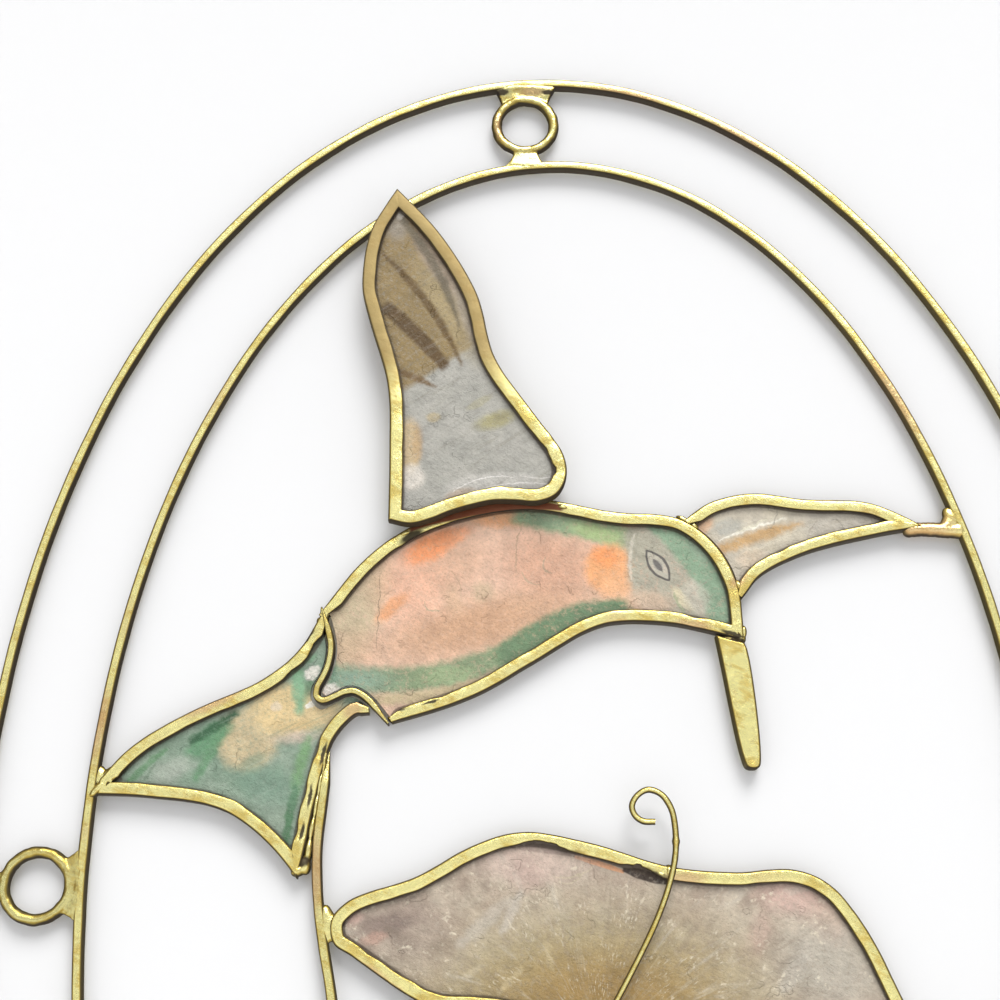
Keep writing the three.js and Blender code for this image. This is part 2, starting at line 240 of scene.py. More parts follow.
def signed_area(points):
    return sum(a.x * b.y - b.x * a.y for a, b in zip(points, points[1:] + points[:1])) / 2


def anticlockwise(points):
    return points if signed_area(points) > 0 else points[::-1]


def path_length(points):
    return sum((b - a).length for a, b in zip(points, points[1:]))


def left_of(direction):
    return Vector((-direction.y, direction.x))


def turn_at(points, i):
    """Angle by which a closed outline turns at one of its points."""
    before = points[i] - points[i - 1]
    after = points[(i + 1) % len(points)] - points[i]
    return abs(before.angle_signed(after, 0))


def nearest_distance(loop, point, closed=True):
    """Distance from a point to a line."""
    best = math.inf
    for a, b in zip(loop, loop[1:] + loop[:1] if closed else loop[1:]):
        along = b - a
        share = min(1, max(0, (point - a).dot(along) / max(along.length_squared, 1e-12)))
        best = min(best, (a + share * along - point).length)
    return best


def inside(loop, point):
    """Whether a point lies within a closed loop."""
    crossings = 0
    for a, b in zip(loop, loop[1:] + loop[:1]):
        if (a.y > point.y) != (b.y > point.y):
            crossings += point.x < a.x + (b.x - a.x) * (point.y - a.y) / (b.y - a.y)
    return crossings % 2 == 1


def crossing(a, toward_a, b, toward_b):
    """Where two lines meet, each given by a point and a direction."""
    across = toward_a.cross(toward_b)
    return a + toward_a * ((b - a).cross(toward_b) / across)


def curved(points, step, closed=False):
    """Evenly spaced places on the smooth curve that runs through some points."""
    if len(points) < 3:
        return resampled(points, step)
    if closed:
        through = [points[-1], *points, points[0], points[1]]
    else:
        through = [2 * points[0] - points[1], *points, 2 * points[-1] - points[-2]]
    dense = []
    for p0, p1, p2, p3 in zip(through, through[1:], through[2:], through[3:]):
        t1 = math.sqrt((p1 - p0).length)
        t2 = t1 + math.sqrt((p2 - p1).length)
        t3 = t2 + math.sqrt((p3 - p2).length)
        for k in range(CURVE_POINTS):
            t = t1 + (t2 - t1) * k / CURVE_POINTS
            a1 = p0.lerp(p1, t / t1)
            a2 = p1.lerp(p2, (t - t1) / (t2 - t1))
            a3 = p2.lerp(p3, (t - t2) / (t3 - t2))
            b1 = a1.lerp(a2, t / t2)
            b2 = a2.lerp(a3, (t - t1) / (t3 - t1))
            dense.append(b1.lerp(b2, (t - t1) / (t2 - t1)))
    dense.append(points[0].copy() if closed else points[-1].copy())
    return resampled(dense, step)


def resampled(points, step, count=None):
    """The same line with evenly spaced points."""
    total = path_length(points)
    count = count or max(2, round(total / step))
    spread = [points[0].copy()]
    covered = 0.0
    for a, b in zip(points, points[1:]):
        stretch = (b - a).length
        while len(spread) < count and covered + stretch >= total * len(spread) / count:
            spread.append(a.lerp(b, (total * len(spread) / count - covered) / stretch))
        covered += stretch
    return [*spread, points[-1].copy()]


def sharp_corners(loop):
    """The corners of a closed outline, as places in its list."""
    turns = [turn_at(loop, i) for i in range(len(loop))]
    found = []
    for i, turn in enumerate(turns):
        beside = max(turns[i - 1], turns[(i + 1) % len(turns)])
        if turn > CORNER_TURN and (beside < CORNER_ALONE * turn or turn > 2 * CORNER_TURN):
            found.append(i)
    return found


def without_blunt_tips(loop):
    """The outline with the first tip that the frame cuts off drawn out to its point again."""
    points = list(loop)
    for i in range(len(points)):
        before, a = points[i - 1], points[i]
        b, after = points[(i + 1) % len(points)], points[(i + 2) % len(points)]
        if (b - a).length > BLUNT_TIP or min(turn_at(points, i), turn_at(points, (i + 1) % len(points))) < 1:
            continue
        tip = crossing(a, (a - before).normalized(), b, (b - after).normalized())
        if (tip - a).length < 2 * BLUNT_TIP:
            points[i] = tip
            points.pop((i + 1) % len(points))
            break
    return points


def came_runs(frame_node, shell_node, step):
    """The came's outer edge as smooth runs that meet in corners, and whether it closes."""
    shell_edge = front_loops(shell_node)[0]
    loop = front_loops(frame_node)[0]
    outer = [not inside(shell_edge, p) and nearest_distance(shell_edge, p) > OFF_SHELL for p in loop]
    notched = {i % len(loop) for a in range(len(loop)) for width in (1, 2)
               if outer[a - 1] and not any(outer[a:a + width]) and outer[(a + width) % len(loop)]
               for i in range(a, a + width)}
    loop, outer = zip(*[(p, kept) for i, (p, kept) in enumerate(zip(loop, outer)) if i not in notched])
    if all(outer):
        loop = without_blunt_tips(loop)
        corners = sharp_corners(loop)
        if not corners:
            return [curved(loop, step, closed=True)], True
        ends = corners[1:] + [corners[0] + len(loop)]
        runs = [[loop[i % len(loop)] for i in range(a, b + 1)] for a, b in zip(corners, ends)]
        return [curved(run, step) for run in runs], True
    stretches = []
    start = next(i for i in range(len(loop)) if outer[i] and not outer[i - 1])
    for k in range(len(loop)):
        i = (start + k) % len(loop)
        if outer[i]:
            if not outer[i - 1] or k == 0:
                stretches.append([])
            stretches[-1].append(loop[i])
    stretch = max(stretches, key=path_length)
    turned = without_blunt_tips(stretch)
    corners = [i for i in sharp_corners(turned) if 0 < i < len(turned) - 1]
    cuts = [0, *corners, len(turned) - 1]
    return [curved(turned[a:b + 1], step) for a, b in zip(cuts, cuts[1:])], False


def strip_line(node):
    """The line along the middle of a strip, from its two long edges."""
    loop = front_loops(node)[0]
    corners = sorted(range(len(loop)), key=lambda i: turn_at(loop, i))[-4:]
    corners.sort()
    ends = corners[1:] + [corners[0] + len(loop)]
    sides = [[loop[i % len(loop)] for i in range(a, b + 1)] for a, b in zip(corners, ends)]
    one, other = sorted(sides, key=path_length)[-2:]
    if (one[0] - other[0]).length >= (one[0] - other[-1]).length:
        other.reverse()
    return [a.lerp(b, 0.5) for a, b in
            zip(resampled(one, 1, STRIP_POINTS), resampled(other, 1, STRIP_POINTS))]


def oval_line(node, step):
    """The middle line of an oval's wire, closed."""
    outer, inner = front_loops(node)[:2]
    middle = [point.lerp(min(inner, key=lambda q: (q - point).length), 0.5) for point in outer]
    return curved(middle, step, closed=True)


# Shapes

def finished(name, mesh, slot, material, *replaced, smooth=42):
    """A piece from a bmesh in millimetres, riding on the frame in the place of CAD nodes."""
    bmesh.ops.scale(mesh, vec=(MM, MM, MM), verts=mesh.verts)
    data = bpy.data.meshes.new(name)
    mesh.to_mesh(data)
    mesh.free()
    data.shade_smooth()
    data.set_sharp_from_angle(angle=math.radians(smooth))
    piece = bpy.data.objects.new(name, data)
    bpy.context.scene.collection.objects.link(piece)
    data.materials.append(material)
    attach(piece, BODY)
    if replaced:
        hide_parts(*replaced)
    return piece


def arc(centre, radius, start, end, steps):
    """Points of an arc, from one angle in degrees to another."""
    turns = [math.radians(start + (end - start) * k / steps) for k in range(steps + 1)]
    return [Vector((centre[0] + radius * math.cos(t), centre[1] + radius * math.sin(t))) for t in turns]


def mirrored_section(half):
    """A section from its front half: each point is inwards and forwards."""
    return half + [Vector((point.x, -point.y)) for point in reversed(half)]


def bar_section(width, depth, radius):
    """A rounded bar round its middle line."""
    w, d = width / 2 - radius, depth / 2 - radius
    return mirrored_section([*arc((-w, d), radius, 180, 90, 4), Vector((0, depth / 2 + 0.02)),
                             *arc((w, d), radius, 90, 0, 4)])


def came_face(node, settings):
    """Width of a node's came in millimetres."""
    return (settings.wing_face if node == "upper_wing_frame" else settings.face) / MM


def came_section(settings, face):
    """The U shaped channel, inward from its outer face."""
    half, wall = settings.depth / 2 / MM, settings.groove_wall / MM
    groove, outer, lip = settings.groove / 2 / MM, settings.outer_round / MM, settings.lip_round / MM
    front = [
        *arc((outer, half - outer), outer, 180, 90, 5),
        Vector((outer + 0.25 * (face - lip - outer), half + 0.02)),
        Vector((outer + 0.55 * (face - lip - outer), half + 0.04)),
        *arc((face - lip, half - lip), lip, 90, -40, 4),
        Vector((face - 1.6 * lip, groove + 0.05)),
        Vector((wall + 0.12, groove)),
        Vector((wall, groove - 0.12)),
    ]
    return mirrored_section(front)


def tangents(points, closed):
    """Direction of travel at each point of a line."""
    last = len(points) - 1
    found = []
    for i in range(len(points)):
        a = points[i - 1] if i else (points[-2] if closed else points[0])
        b = points[i + 1] if i < last else (points[1] if closed else points[-1])
        found.append((b - a).normalized())
    return found


def mitre(before, after):
    """The plane that halves a corner between two runs, as a point and the direction of travel."""
    incoming = (before[-1] - before[-2]).normalized()
    outgoing = (after[1] - after[0]).normalized()
    return before[-1], (incoming + outgoing).normalized()


def sweep(mesh, runs, section, middle, closed, shape=None):
    """Sweeps a section along runs of a path, mitred where they meet. shape may move each point:
    it takes the place on the path, the length so far, and the inward and forward offsets."""
    around = len(section)
    travelled = 0.0
    for r, run in enumerate(runs):
        whole = closed and len(runs) == 1
        steps = len(run) - 1
        directions = tangents(run, whole)
        start = mitre(runs[r - 1], run) if (closed or r) and not whole else None
        end = mitre(run, runs[(r + 1) % len(runs)]) if (closed or r < len(runs) - 1) and not whole else None
        grid = bmesh.ops.create_grid(mesh, x_segments=steps, y_segments=around, size=0.5)
        at = [travelled]
        for a, b in zip(run, run[1:]):
            at.append(at[-1] + (b - a).length)
        for vert in grid["verts"]:
            i = round((vert.co.x + 0.5) * steps)
            j = round((vert.co.y + 0.5) * around) % around
            inward, forward = section[j]
            if shape:
                inward, forward = shape(run[i], at[i], inward, forward)
            way = directions[i]
            place = run[i] + left_of(way) * inward
            for plane, sign, far in ((start, 1, at[i] - at[0]), (end, -1, at[-1] - at[i])):
                if plane and far < MITRE_REACH:
                    behind = (place - plane[0]).dot(plane[1])
                    if sign * behind < 0:
                        place = place - way * (behind / way.dot(plane[1]))
            vert.co = (place.x, middle - forward, place.y)
        travelled = at[-1]
    bmesh.ops.remove_doubles(mesh, verts=mesh.verts, dist=WELD)
    bmesh.ops.dissolve_degenerate(mesh, edges=mesh.edges, dist=WELD / 4)
    bmesh.ops.holes_fill(mesh, edges=[edge for edge in mesh.edges if edge.is_boundary], sides=0)
    bmesh.ops.recalc_face_normals(mesh, faces=mesh.faces)


def middle_depth(node):
    """Where the middle of a node lies from front to back, in millimetres."""
    low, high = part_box(node)
    return (low.y + high.y) / 2 / MM


def swell(place, spot, reach):
    """1 at a spot and 0 beyond its reach, smooth between."""
    near = max(0.0, 1 - (place - Vector(spot)).length / reach)
    return near * near * (3 - 2 * near)


def stray(place, height, scale, seed):
    """Slow noise from -1 to 1 at a place, in millimetres."""
    return noise.noise(Vector((place.x / scale + seed, height, place.y / scale - seed)))


# Torn or dented places in the cames: place, reach, the share of the lip that is torn back, and how far
# the face is pressed in
CAME_FLAWS = {
    "top_petal_frame": [
        ((1.4, -141.6), 5.2, 0.75, 0.0), ((-1.5, -141.4), 3.0, 0.35, 0.0), ((9.0, -144.4), 4.0, -0.25, 0.25),
        ((17.5, -145.6), 4.2, 0.95, 0.0), ((-29.5, -161.0), 3.0, 0.2, 0.15),
        ((-22.0, -166.2), 2.5, -0.15, 0.2),
    ],
    "tail_frame": [
        ((-36.4, -126.0), 2.6, 0.35, 0.45), ((-38.4, -133.4), 2.6, 0.3, 0.5),
        ((-39.6, -139.6), 2.2, 0.3, 0.45),
        ((-39.6, -106.6), 2.6, 0.45, 0.2), ((-43.6, -110.6), 2.0, 0.25, 0.1),
        ((-52.0, -136.2), 2.4, -0.1, 0.12),
    ],
    "body_frame": [
        ((-23.0, -118.4), 3.0, 0.5, 0.35), ((-16.2, -117.0), 2.6, 0.55, 0.2),
        ((-11.4, -115.6), 2.2, -0.2, 0.3),
        ((15.4, -102.0), 1.6, 0.25, 0.3), ((0.6, -108.8), 1.6, 0.2, 0.2), ((28.0, -104.4), 2.4, 0.3, 0.2),
        ((-24.0, -88.2), 2.0, -0.2, 0.2),
    ],
    "far_wing_frame": [((45.0, -93.0), 2.0, 0.2, 0.15), ((37.5, -96.2), 2.0, -0.2, 0.25)],
    "upper_wing_frame": [
        ((5.5, -70.5), 2.0, 0.5, 0.3), ((5.8, -76.5), 2.0, 0.45, 0.2), ((-5.5, -81.5), 2.5, -0.15, 0.15),
        ((-28.4, -60.0), 2.0, 0.2, 0.2),
    ],
}


# How much further than in the frame the open ends of a came reach, to the divider
CAME_REACH = {"tail_frame": (3.8, 1.4), "body_frame": (2.1, 3.8)}


def came(node, shell_node, material, settings):
    """A came bent by hand round its shell."""
    runs, closed = came_runs(node, shell_node, settings.step / MM)
    start, end = CAME_REACH.get(node, (0, 0))
    if start:
        first, last = runs[0], runs[-1]
        first.insert(0, first[0] + (first[0] - first[2]).normalized() * start)
        last.append(last[-1] + (last[-1] - last[-3]).normalized() * end)
    flaws = CAME_FLAWS.get(node, [])
    seed = 3.7 * len(node)
    lip_from, face_from, end_length, end_width = 1.1, 0.7, 2.2, 0.5
    unevenness, dents = settings.unevenness / MM, settings.dents / MM
    total = sum(path_length(run) for run in runs)

    def bent(place, travelled, inward, forward):
        slow = stray(place, 0.0, 9.0, seed)
        quick = stray(place, 4.0, 2.6, seed)
        if inward > lip_from:
            inward += unevenness * (0.6 * slow + 0.5 * quick)
        to_end = min(travelled, total - travelled) / end_length
        if not closed and to_end < 1:
            inward *= end_width + (1 - end_width) * to_end
        if forward > 0:
            forward += dents * (quick - 0.6 * abs(stray(place, inward, 1.5, seed)))
            for spot, reach, torn, pressed in flaws:
                near = swell(place, spot, reach)
                if near and inward > lip_from:
                    ragged = 1 + 0.5 * stray(place, 9.0, 0.7, seed)
                    inward -= (inward - lip_from + 0.25) * max(torn, -0.4) * near * ragged
                if near and forward > face_from:
                    forward -= pressed * near * (0.7 + 0.6 * abs(stray(place, inward, 0.8, seed)))
        return inward, forward

    mesh = bmesh.new()
    sweep(mesh, runs, came_section(settings, came_face(node, settings)), middle_depth(node), closed, bent)
    return finished(node.replace("_frame", "_came"), mesh, "brass_came", material, node)


def wire(name, runs, section, middle, closed, material, slot, *replaced, shape=None):
    """A wire along a path."""
    mesh = bmesh.new()
    sweep(mesh, runs, section, middle, closed, shape)
    return finished(name, mesh, slot, material, *replaced)


def plate(name, outline, front, back, cell, relief, slot, material, *replaced, held_by=(), covered=0.0):
    """A thin plate inside an outline, cut into cells and given a relief on its front. held_by is
    the outer edge of the came that holds it, and covered that came's width."""
    mesh = bmesh.new()
    rim = mesh.verts.layers.float.new(RIM)
    corners = [mesh.verts.new((point.x, front, point.y)) for point in outline]
    face = mesh.faces.new(corners)
    if face.normal.y > 0:
        face.normal_flip()
    for axis, normal in ((0, Vector((1, 0, 0))), (2, Vector((0, 0, 1)))):
        values = [vert.co[axis] for vert in mesh.verts]
        low, high = min(values), max(values)
        for k in range(1, math.ceil((high - low) / cell)):
            bmesh.ops.bisect_plane(mesh, geom=[*mesh.verts, *mesh.edges, *mesh.faces], dist=1e-4,
                                   plane_co=normal * (low + k * cell), plane_no=normal)
    mesh.normal_update()
    if mesh.faces[:][0].normal.y > 0:
        bmesh.ops.reverse_faces(mesh, faces=mesh.faces)
    fronts = list(mesh.verts)
    for vert in fronts:
        if held_by:
            vert[rim] = nearest_distance(held_by, Vector((vert.co.x, vert.co.z)), closed=False) - covered
    made = bmesh.ops.extrude_face_region(mesh, geom=list(mesh.faces), use_keep_orig=True)
    moved = [item for item in made["geom"] if isinstance(item, bmesh.types.BMVert)]
    for vert in moved:
        vert.co.y = back
    for vert in fronts:
        vert.co.y = front - relief(Vector((vert.co.x, vert.co.z)))
    bmesh.ops.recalc_face_normals(mesh, faces=mesh.faces)
    return finished(name, mesh, slot, material, *replaced, smooth=50)


def fused(name, mesh, grain, seed, slot, material, *replaced, lumps=0.09, flow=4):
    """Solder and wire melted into one skin, a little lumpy. More flow makes it smoother."""
    piece = finished(name, mesh, slot, material, *replaced)
    remesh = piece.modifiers.new("Fuse", "REMESH")
    remesh.mode = "VOXEL"
    remesh.voxel_size = grain
    smooth = piece.modifiers.new("Flow", "SMOOTH")
    smooth.factor = 0.5
    smooth.iterations = flow
    graph = bpy.context.evaluated_depsgraph_get()
    data = bpy.data.meshes.new_from_object(piece.evaluated_get(graph))
    piece.modifiers.clear()
    piece.data = data
    outward = [vert.normal.copy() for vert in data.vertices]
    for vert, way in zip(data.vertices, outward):
        place = vert.co / MM
        push = noise.noise(place / 1.6 + Vector((seed, 0, seed))) + 0.3 * noise.noise(place / 0.7)
        vert.co += way * (lumps * MM * push)
    data.shade_smooth()
    if not data.materials:
        data.materials.append(material)
    return piece


def web(mesh, place, thickness):
    """A slab of solder. place and thickness take a point's side, from -1 to 1, and its share of the way."""
    grid = bmesh.ops.create_grid(mesh, x_segments=14, y_segments=8, size=1)["verts"]
    mesh.faces.index_update()
    faces = sorted({face for vert in grid for face in vert.link_faces}, key=lambda face: face.index)
    made = bmesh.ops.extrude_face_region(mesh, geom=faces, use_keep_orig=True)
    backs = [item for item in made["geom"] if isinstance(item, bmesh.types.BMVert)]
    for verts, sign in ((grid, -1), (backs, 1)):
        for vert in verts:
            side, share = vert.co.x, (vert.co.y + 1) / 2
            at = place(side, share)
            vert.co = (at.x, sign * thickness(side, share) / 2, at.y)


def lump(mesh, centre, size, turn=0.0):
    """One drop of solder: centre in x, y, z and half sizes, turned about the viewing line."""
    placed = Matrix.Translation(centre) @ Matrix.Rotation(turn, 4, "Y") @ Matrix.Diagonal((*size, 1))
    bmesh.ops.create_icosphere(mesh, subdivisions=3, radius=1, matrix=placed)


# Materials

class Term:
    """A number on a socket: an expression on it adds its Math nodes."""

    def __init__(self, tree, socket):
        self.tree = tree
        self.socket = socket

    def math(self, operation, *values):
        node = self.tree.nodes.new("ShaderNodeMath")
        node.operation = operation
        for socket, value in zip(node.inputs, values):
            if isinstance(value, Term):
                self.tree.links.new(value.socket, socket)
            else:
                socket.default_value = value
        return Term(self.tree, node.outputs[0])

    def __add__(self, other):
        return self.math("ADD", self, other)

    def __radd__(self, other):
        return self.math("ADD", other, self)

    def __sub__(self, other):
        return self.math("SUBTRACT", self, other)

    def __rsub__(self, other):
        return self.math("SUBTRACT", other, self)

    def __mul__(self, other):
        return self.math("MULTIPLY", self, other)

    def __rmul__(self, other):
        return self.math("MULTIPLY", other, self)

    def __truediv__(self, other):
        return self.math("DIVIDE", self, other)

    def __rtruediv__(self, other):
        return self.math("DIVIDE", other, self)

    def __pow__(self, other):
        return self.math("POWER", self, other)

    def __abs__(self):
        return self.math("ABSOLUTE", self)

    def at_least(self, other):
        return self.math("MAXIMUM", self, other)


class Graph:
    """A node tree written as expressions."""

    def __init__(self, tree):
        self.tree = tree

    def feed(self, socket, value):
        """Links or sets a socket."""
        if isinstance(value, Term):
            value = value.socket
        if isinstance(value, bpy.types.NodeSocket):
            self.tree.links.new(value, socket)
        else:
            socket.default_value = value

    def node(self, kind, settings=None, inputs=None):
        """A node with its settings, then the values or links of its sockets."""
        node = self.tree.nodes.new(kind)
        for name, value in (settings or {}).items():
            setattr(node, name, value)
        for name, value in (inputs or {}).items():
            self.feed(node.inputs[name], value)
        return node

    def term(self, socket):
        return Term(self.tree, socket)

    def step(self, value, start, end):
        """Smoothly from 0 at start to 1 at end, which may lie below start."""
        node = self.node("ShaderNodeMapRange", {"interpolation_type": "SMOOTHSTEP"},
                         {"Value": value, "From Min": start, "From Max": end})
        return self.term(node.outputs["Result"])


class Finish(Graph):
    """A material written as expressions. Places are in millimetres across (x) and up (z)."""

    def __init__(self, name, ragged=1.2, ragged_scale=2.6):
        self.material = bpy.data.materials.new(name)
        self.material.use_nodes = True
        super().__init__(self.material.node_tree)
        self.shader = self.tree.nodes["Principled BSDF"]
        object_place = self.node("ShaderNodeTexCoord").outputs["Object"]
        self.place = self.node("ShaderNodeVectorMath", {"operation": "SCALE"},
                               {0: object_place, "Scale": 1 / MM}).outputs[0]
        drift = self.node("ShaderNodeTexNoise", {"noise_dimensions": "3D"},
                          {"Vector": self.place, "Scale": 1 / ragged_scale, "Detail": 4.0, "Roughness": 0.62})
        centred = self.node("ShaderNodeVectorMath", {"operation": "SUBTRACT"},
                            {0: drift.outputs["Color"], 1: (0.5, 0.5, 0.5)}).outputs[0]
        moved = self.node("ShaderNodeVectorMath", {"operation": "MULTIPLY_ADD"},
                          {0: centred, 1: (2 * ragged,) * 3, 2: self.place}).outputs[0]
        self.across, self.up = self.split(moved)
        self.true_across, self.true_up = self.split(self.place)

    def split(self, vector):
        """How far across and up a place lies."""
        parts = self.node("ShaderNodeSeparateXYZ", None, {0: vector}).outputs
        return self.term(parts["X"]), self.term(parts["Z"])

    def grain(self, size, detail=4.0, roughness=0.55, stretch=None, turn=0.0):
        """Noise from 0 to 1 with features of a size in millimetres, drawn out along a direction."""
        vector = self.place
        if stretch:
            turned = self.node("ShaderNodeMapping", {"vector_type": "TEXTURE"},
                               {"Vector": vector, "Rotation": (0, math.radians(turn), 0),
                                "Scale": (stretch, 1, 1)})
            vector = turned.outputs[0]
        node = self.node("ShaderNodeTexNoise", None, {"Vector": vector, "Scale": 1 / size, "Detail": detail,
                                                      "Roughness": roughness})
        return self.term(node.outputs[0])

    def mix(self, base, other, share):
        """One colour laid over another by a share."""
        node = self.node("ShaderNodeMix", {"data_type": "RGBA"}, {0: share, 6: base, 7: other})
        return node.outputs[2]

    def shade(self, base, amount):
        """A colour made lighter or darker by a factor."""
        node = self.node("ShaderNodeVectorMath", {"operation": "SCALE"}, {0: base, "Scale": amount})
        return node.outputs[0]

    def patch(self, centre, size, turn=0.0, edge=0.35):
        """1 in an oval patch with ragged edges. The turn is in degrees, anticlockwise."""
        c, s = math.cos(math.radians(turn)), math.sin(math.radians(turn))
        dx, dz = self.across - centre[0], self.up - centre[1]
        along = (dx * c + dz * s) / size[0]
        over = (dz * c - dx * s) / size[1]
        far = (along * along + over * over) ** 0.5
        return self.step(far, 1 + edge, 1 - edge)

    def stroke(self, start, end, width, bow=0.0, tips=(0.5, 0.5), edge=0.25, true=False):
        """1 on a brush stroke between two places, bowed to its left."""
        x, z = (self.true_across, self.true_up) if true else (self.across, self.up)
        line = Vector(end) - Vector(start)
        way = line.normalized()
        dx, dz = x - start[0], z - start[1]
        along = (dx * way.x + dz * way.y) / line.length
        over = dz * way.x - dx * way.y
        if bow:
            over = over - along * (1 - along) * (4 * bow)
        grown = (tips[0] + (1 - tips[0]) * self.step(along, 0, 0.35))
        worn = (tips[1] + (1 - tips[1]) * self.step(along, 1, 0.65))
        half = grown * worn * (width / 2)
        blur = min(edge, width / 3)
        body = self.step(abs(over) - half, blur, -blur)
        ends = blur / line.length + 0.01
        return body * self.step(along, -ends, ends) * self.step(along, 1 + ends, 1 - ends)

    def beside(self, start, end, edge=0.6):
        """1 to the left of the line from one place to another."""
        way = (Vector(end) - Vector(start)).normalized()
        over = (self.up - start[1]) * way.x - (self.across - start[0]) * way.y
        return self.step(over, -edge, edge)

    def painted(self, base, layers):
        """Lays a list of paint layers over a base colour."""
        worn = self.step(self.grain(0.7, detail=5, roughness=0.7), 0.30, 0.52) * 0.45 + 0.55
        for kind, shape, shade, strength in layers:
            mask = getattr(self, kind)(**shape)
            base = self.mix(base, shade, mask * worn * strength)
        return base

    def surface(self, **sockets):
        """Sets or links the shader's sockets, which are written with underscores for spaces."""
        for name, value in sockets.items():
            self.feed(self.shader.inputs[name.replace("_", " ")], value)
        return self.material

    def relief(self, height, distance, strength=1.0):
        """A normal from a height: distance is in metres."""
        node = self.node("ShaderNodeBump", None,
                         {"Height": height, "Distance": distance, "Strength": strength})
        return node.outputs[0]


def chosen(value):
    return (*value, 1)


def brass(name, finish, heat=(), soot_and_shade=(), dull_and_shaded=None, tarnish=0.5, tone=1.0, flat=(0.975, 0.82)):
    """Brass with rubbed faces and painted highlights, walls darkened with patina and painted shade, heat
    tints, and soot and painted shade at the places given.
    """
    look = Finish(name, ragged=0.5, ragged_scale=0.9)
    normal = look.node("ShaderNodeTexCoord").outputs["Normal"]
    sides = look.node("ShaderNodeSeparateXYZ", None, {0: normal}).outputs
    facing = abs(look.term(sides["Y"]))
    # The walls, found by their facing: they get olive patina with painted shade
    wall = look.step(facing, *flat)
    # A ring of darker gold where the faces round off towards the walls: painted shade
    edge_shade_gold = look.step(facing, 0.5 + flat[0] / 2, flat[0] - 0.03)
    # Walls that face down and to the left, away from the key light: painted shade, near black
    under = look.step(look.term(sides["Z"]) - 0.4 * look.term(sides["X"]), 0.0, -0.6) * wall
    cloud = look.grain(3.6, detail=4)
    cells = look.grain(1.1, detail=5, roughness=0.6)
    pits = look.grain(0.35, detail=3, roughness=0.7)
    drawn = look.grain(0.5, detail=4, roughness=0.6, stretch=7, turn=25)
    # Pale brass in streaky patches on the faces: rubbed brass and painted highlights
    skin = look.mix(chosen(finish.brass), chosen(finish.pale), look.step(cloud + 0.5 * drawn, 0.56, 0.80))
    skin = look.mix(skin, chosen(finish.edge_shade_gold), edge_shade_gold * 0.85)
    skin = look.mix(skin, chosen(finish.ochre), look.step(cells, 0.52, 0.74) * (0.6 * tarnish))
    rosy = look.step(look.grain(11.0, detail=2), 0.60, 0.74) * 0.25
    for centre, size, turn in heat:
        rosy = rosy.at_least(look.patch(centre, size, turn, edge=0.6) * 0.6)
    skin = look.shade(look.mix(skin, chosen(finish.copper), rosy), tone)
    # A band given as an argument is darker and less shiny: matt brass on the raised wing's came, and dark red
    # paint with painted shade under that wing
    matt_and_shaded = 0.0
    if dull_and_shaded:
        (kind, shape), shade, strength = dull_and_shaded
        matt_and_shaded = getattr(look, kind)(**shape) * strength
        skin = look.mix(skin, shade, matt_and_shaded)
    # Olive patina in random pits, and olive patina with painted shade on the walls
    skin = look.mix(skin, chosen(finish.patina_and_shade), (wall * 0.92).at_least(look.step(pits, 0.67, 0.78) * 0.7))
    # Near black: painted shade on the walls facing down and left, then soot and painted shade at the places
    # given
    black = under * 0.85
    for centre, size, turn in soot_and_shade:
        black = black.at_least(look.patch(centre, size, turn, edge=0.35))
    skin = look.mix(skin, chosen(finish.soot_and_shade), black * 0.95)
    rough = 0.17 + 0.16 * cells + 0.24 * wall + 0.3 * black + 0.3 * matt_and_shaded
    height = look.grain(0.8, detail=5, roughness=0.65) + 0.25 * look.grain(0.22, detail=2)
    return look.surface(Base_Color=skin, Metallic=1 - 0.35 * wall - 0.5 * black - 0.55 * matt_and_shaded,
                        Roughness=rough, Normal=look.relief(height, 0.00009, 0.9))


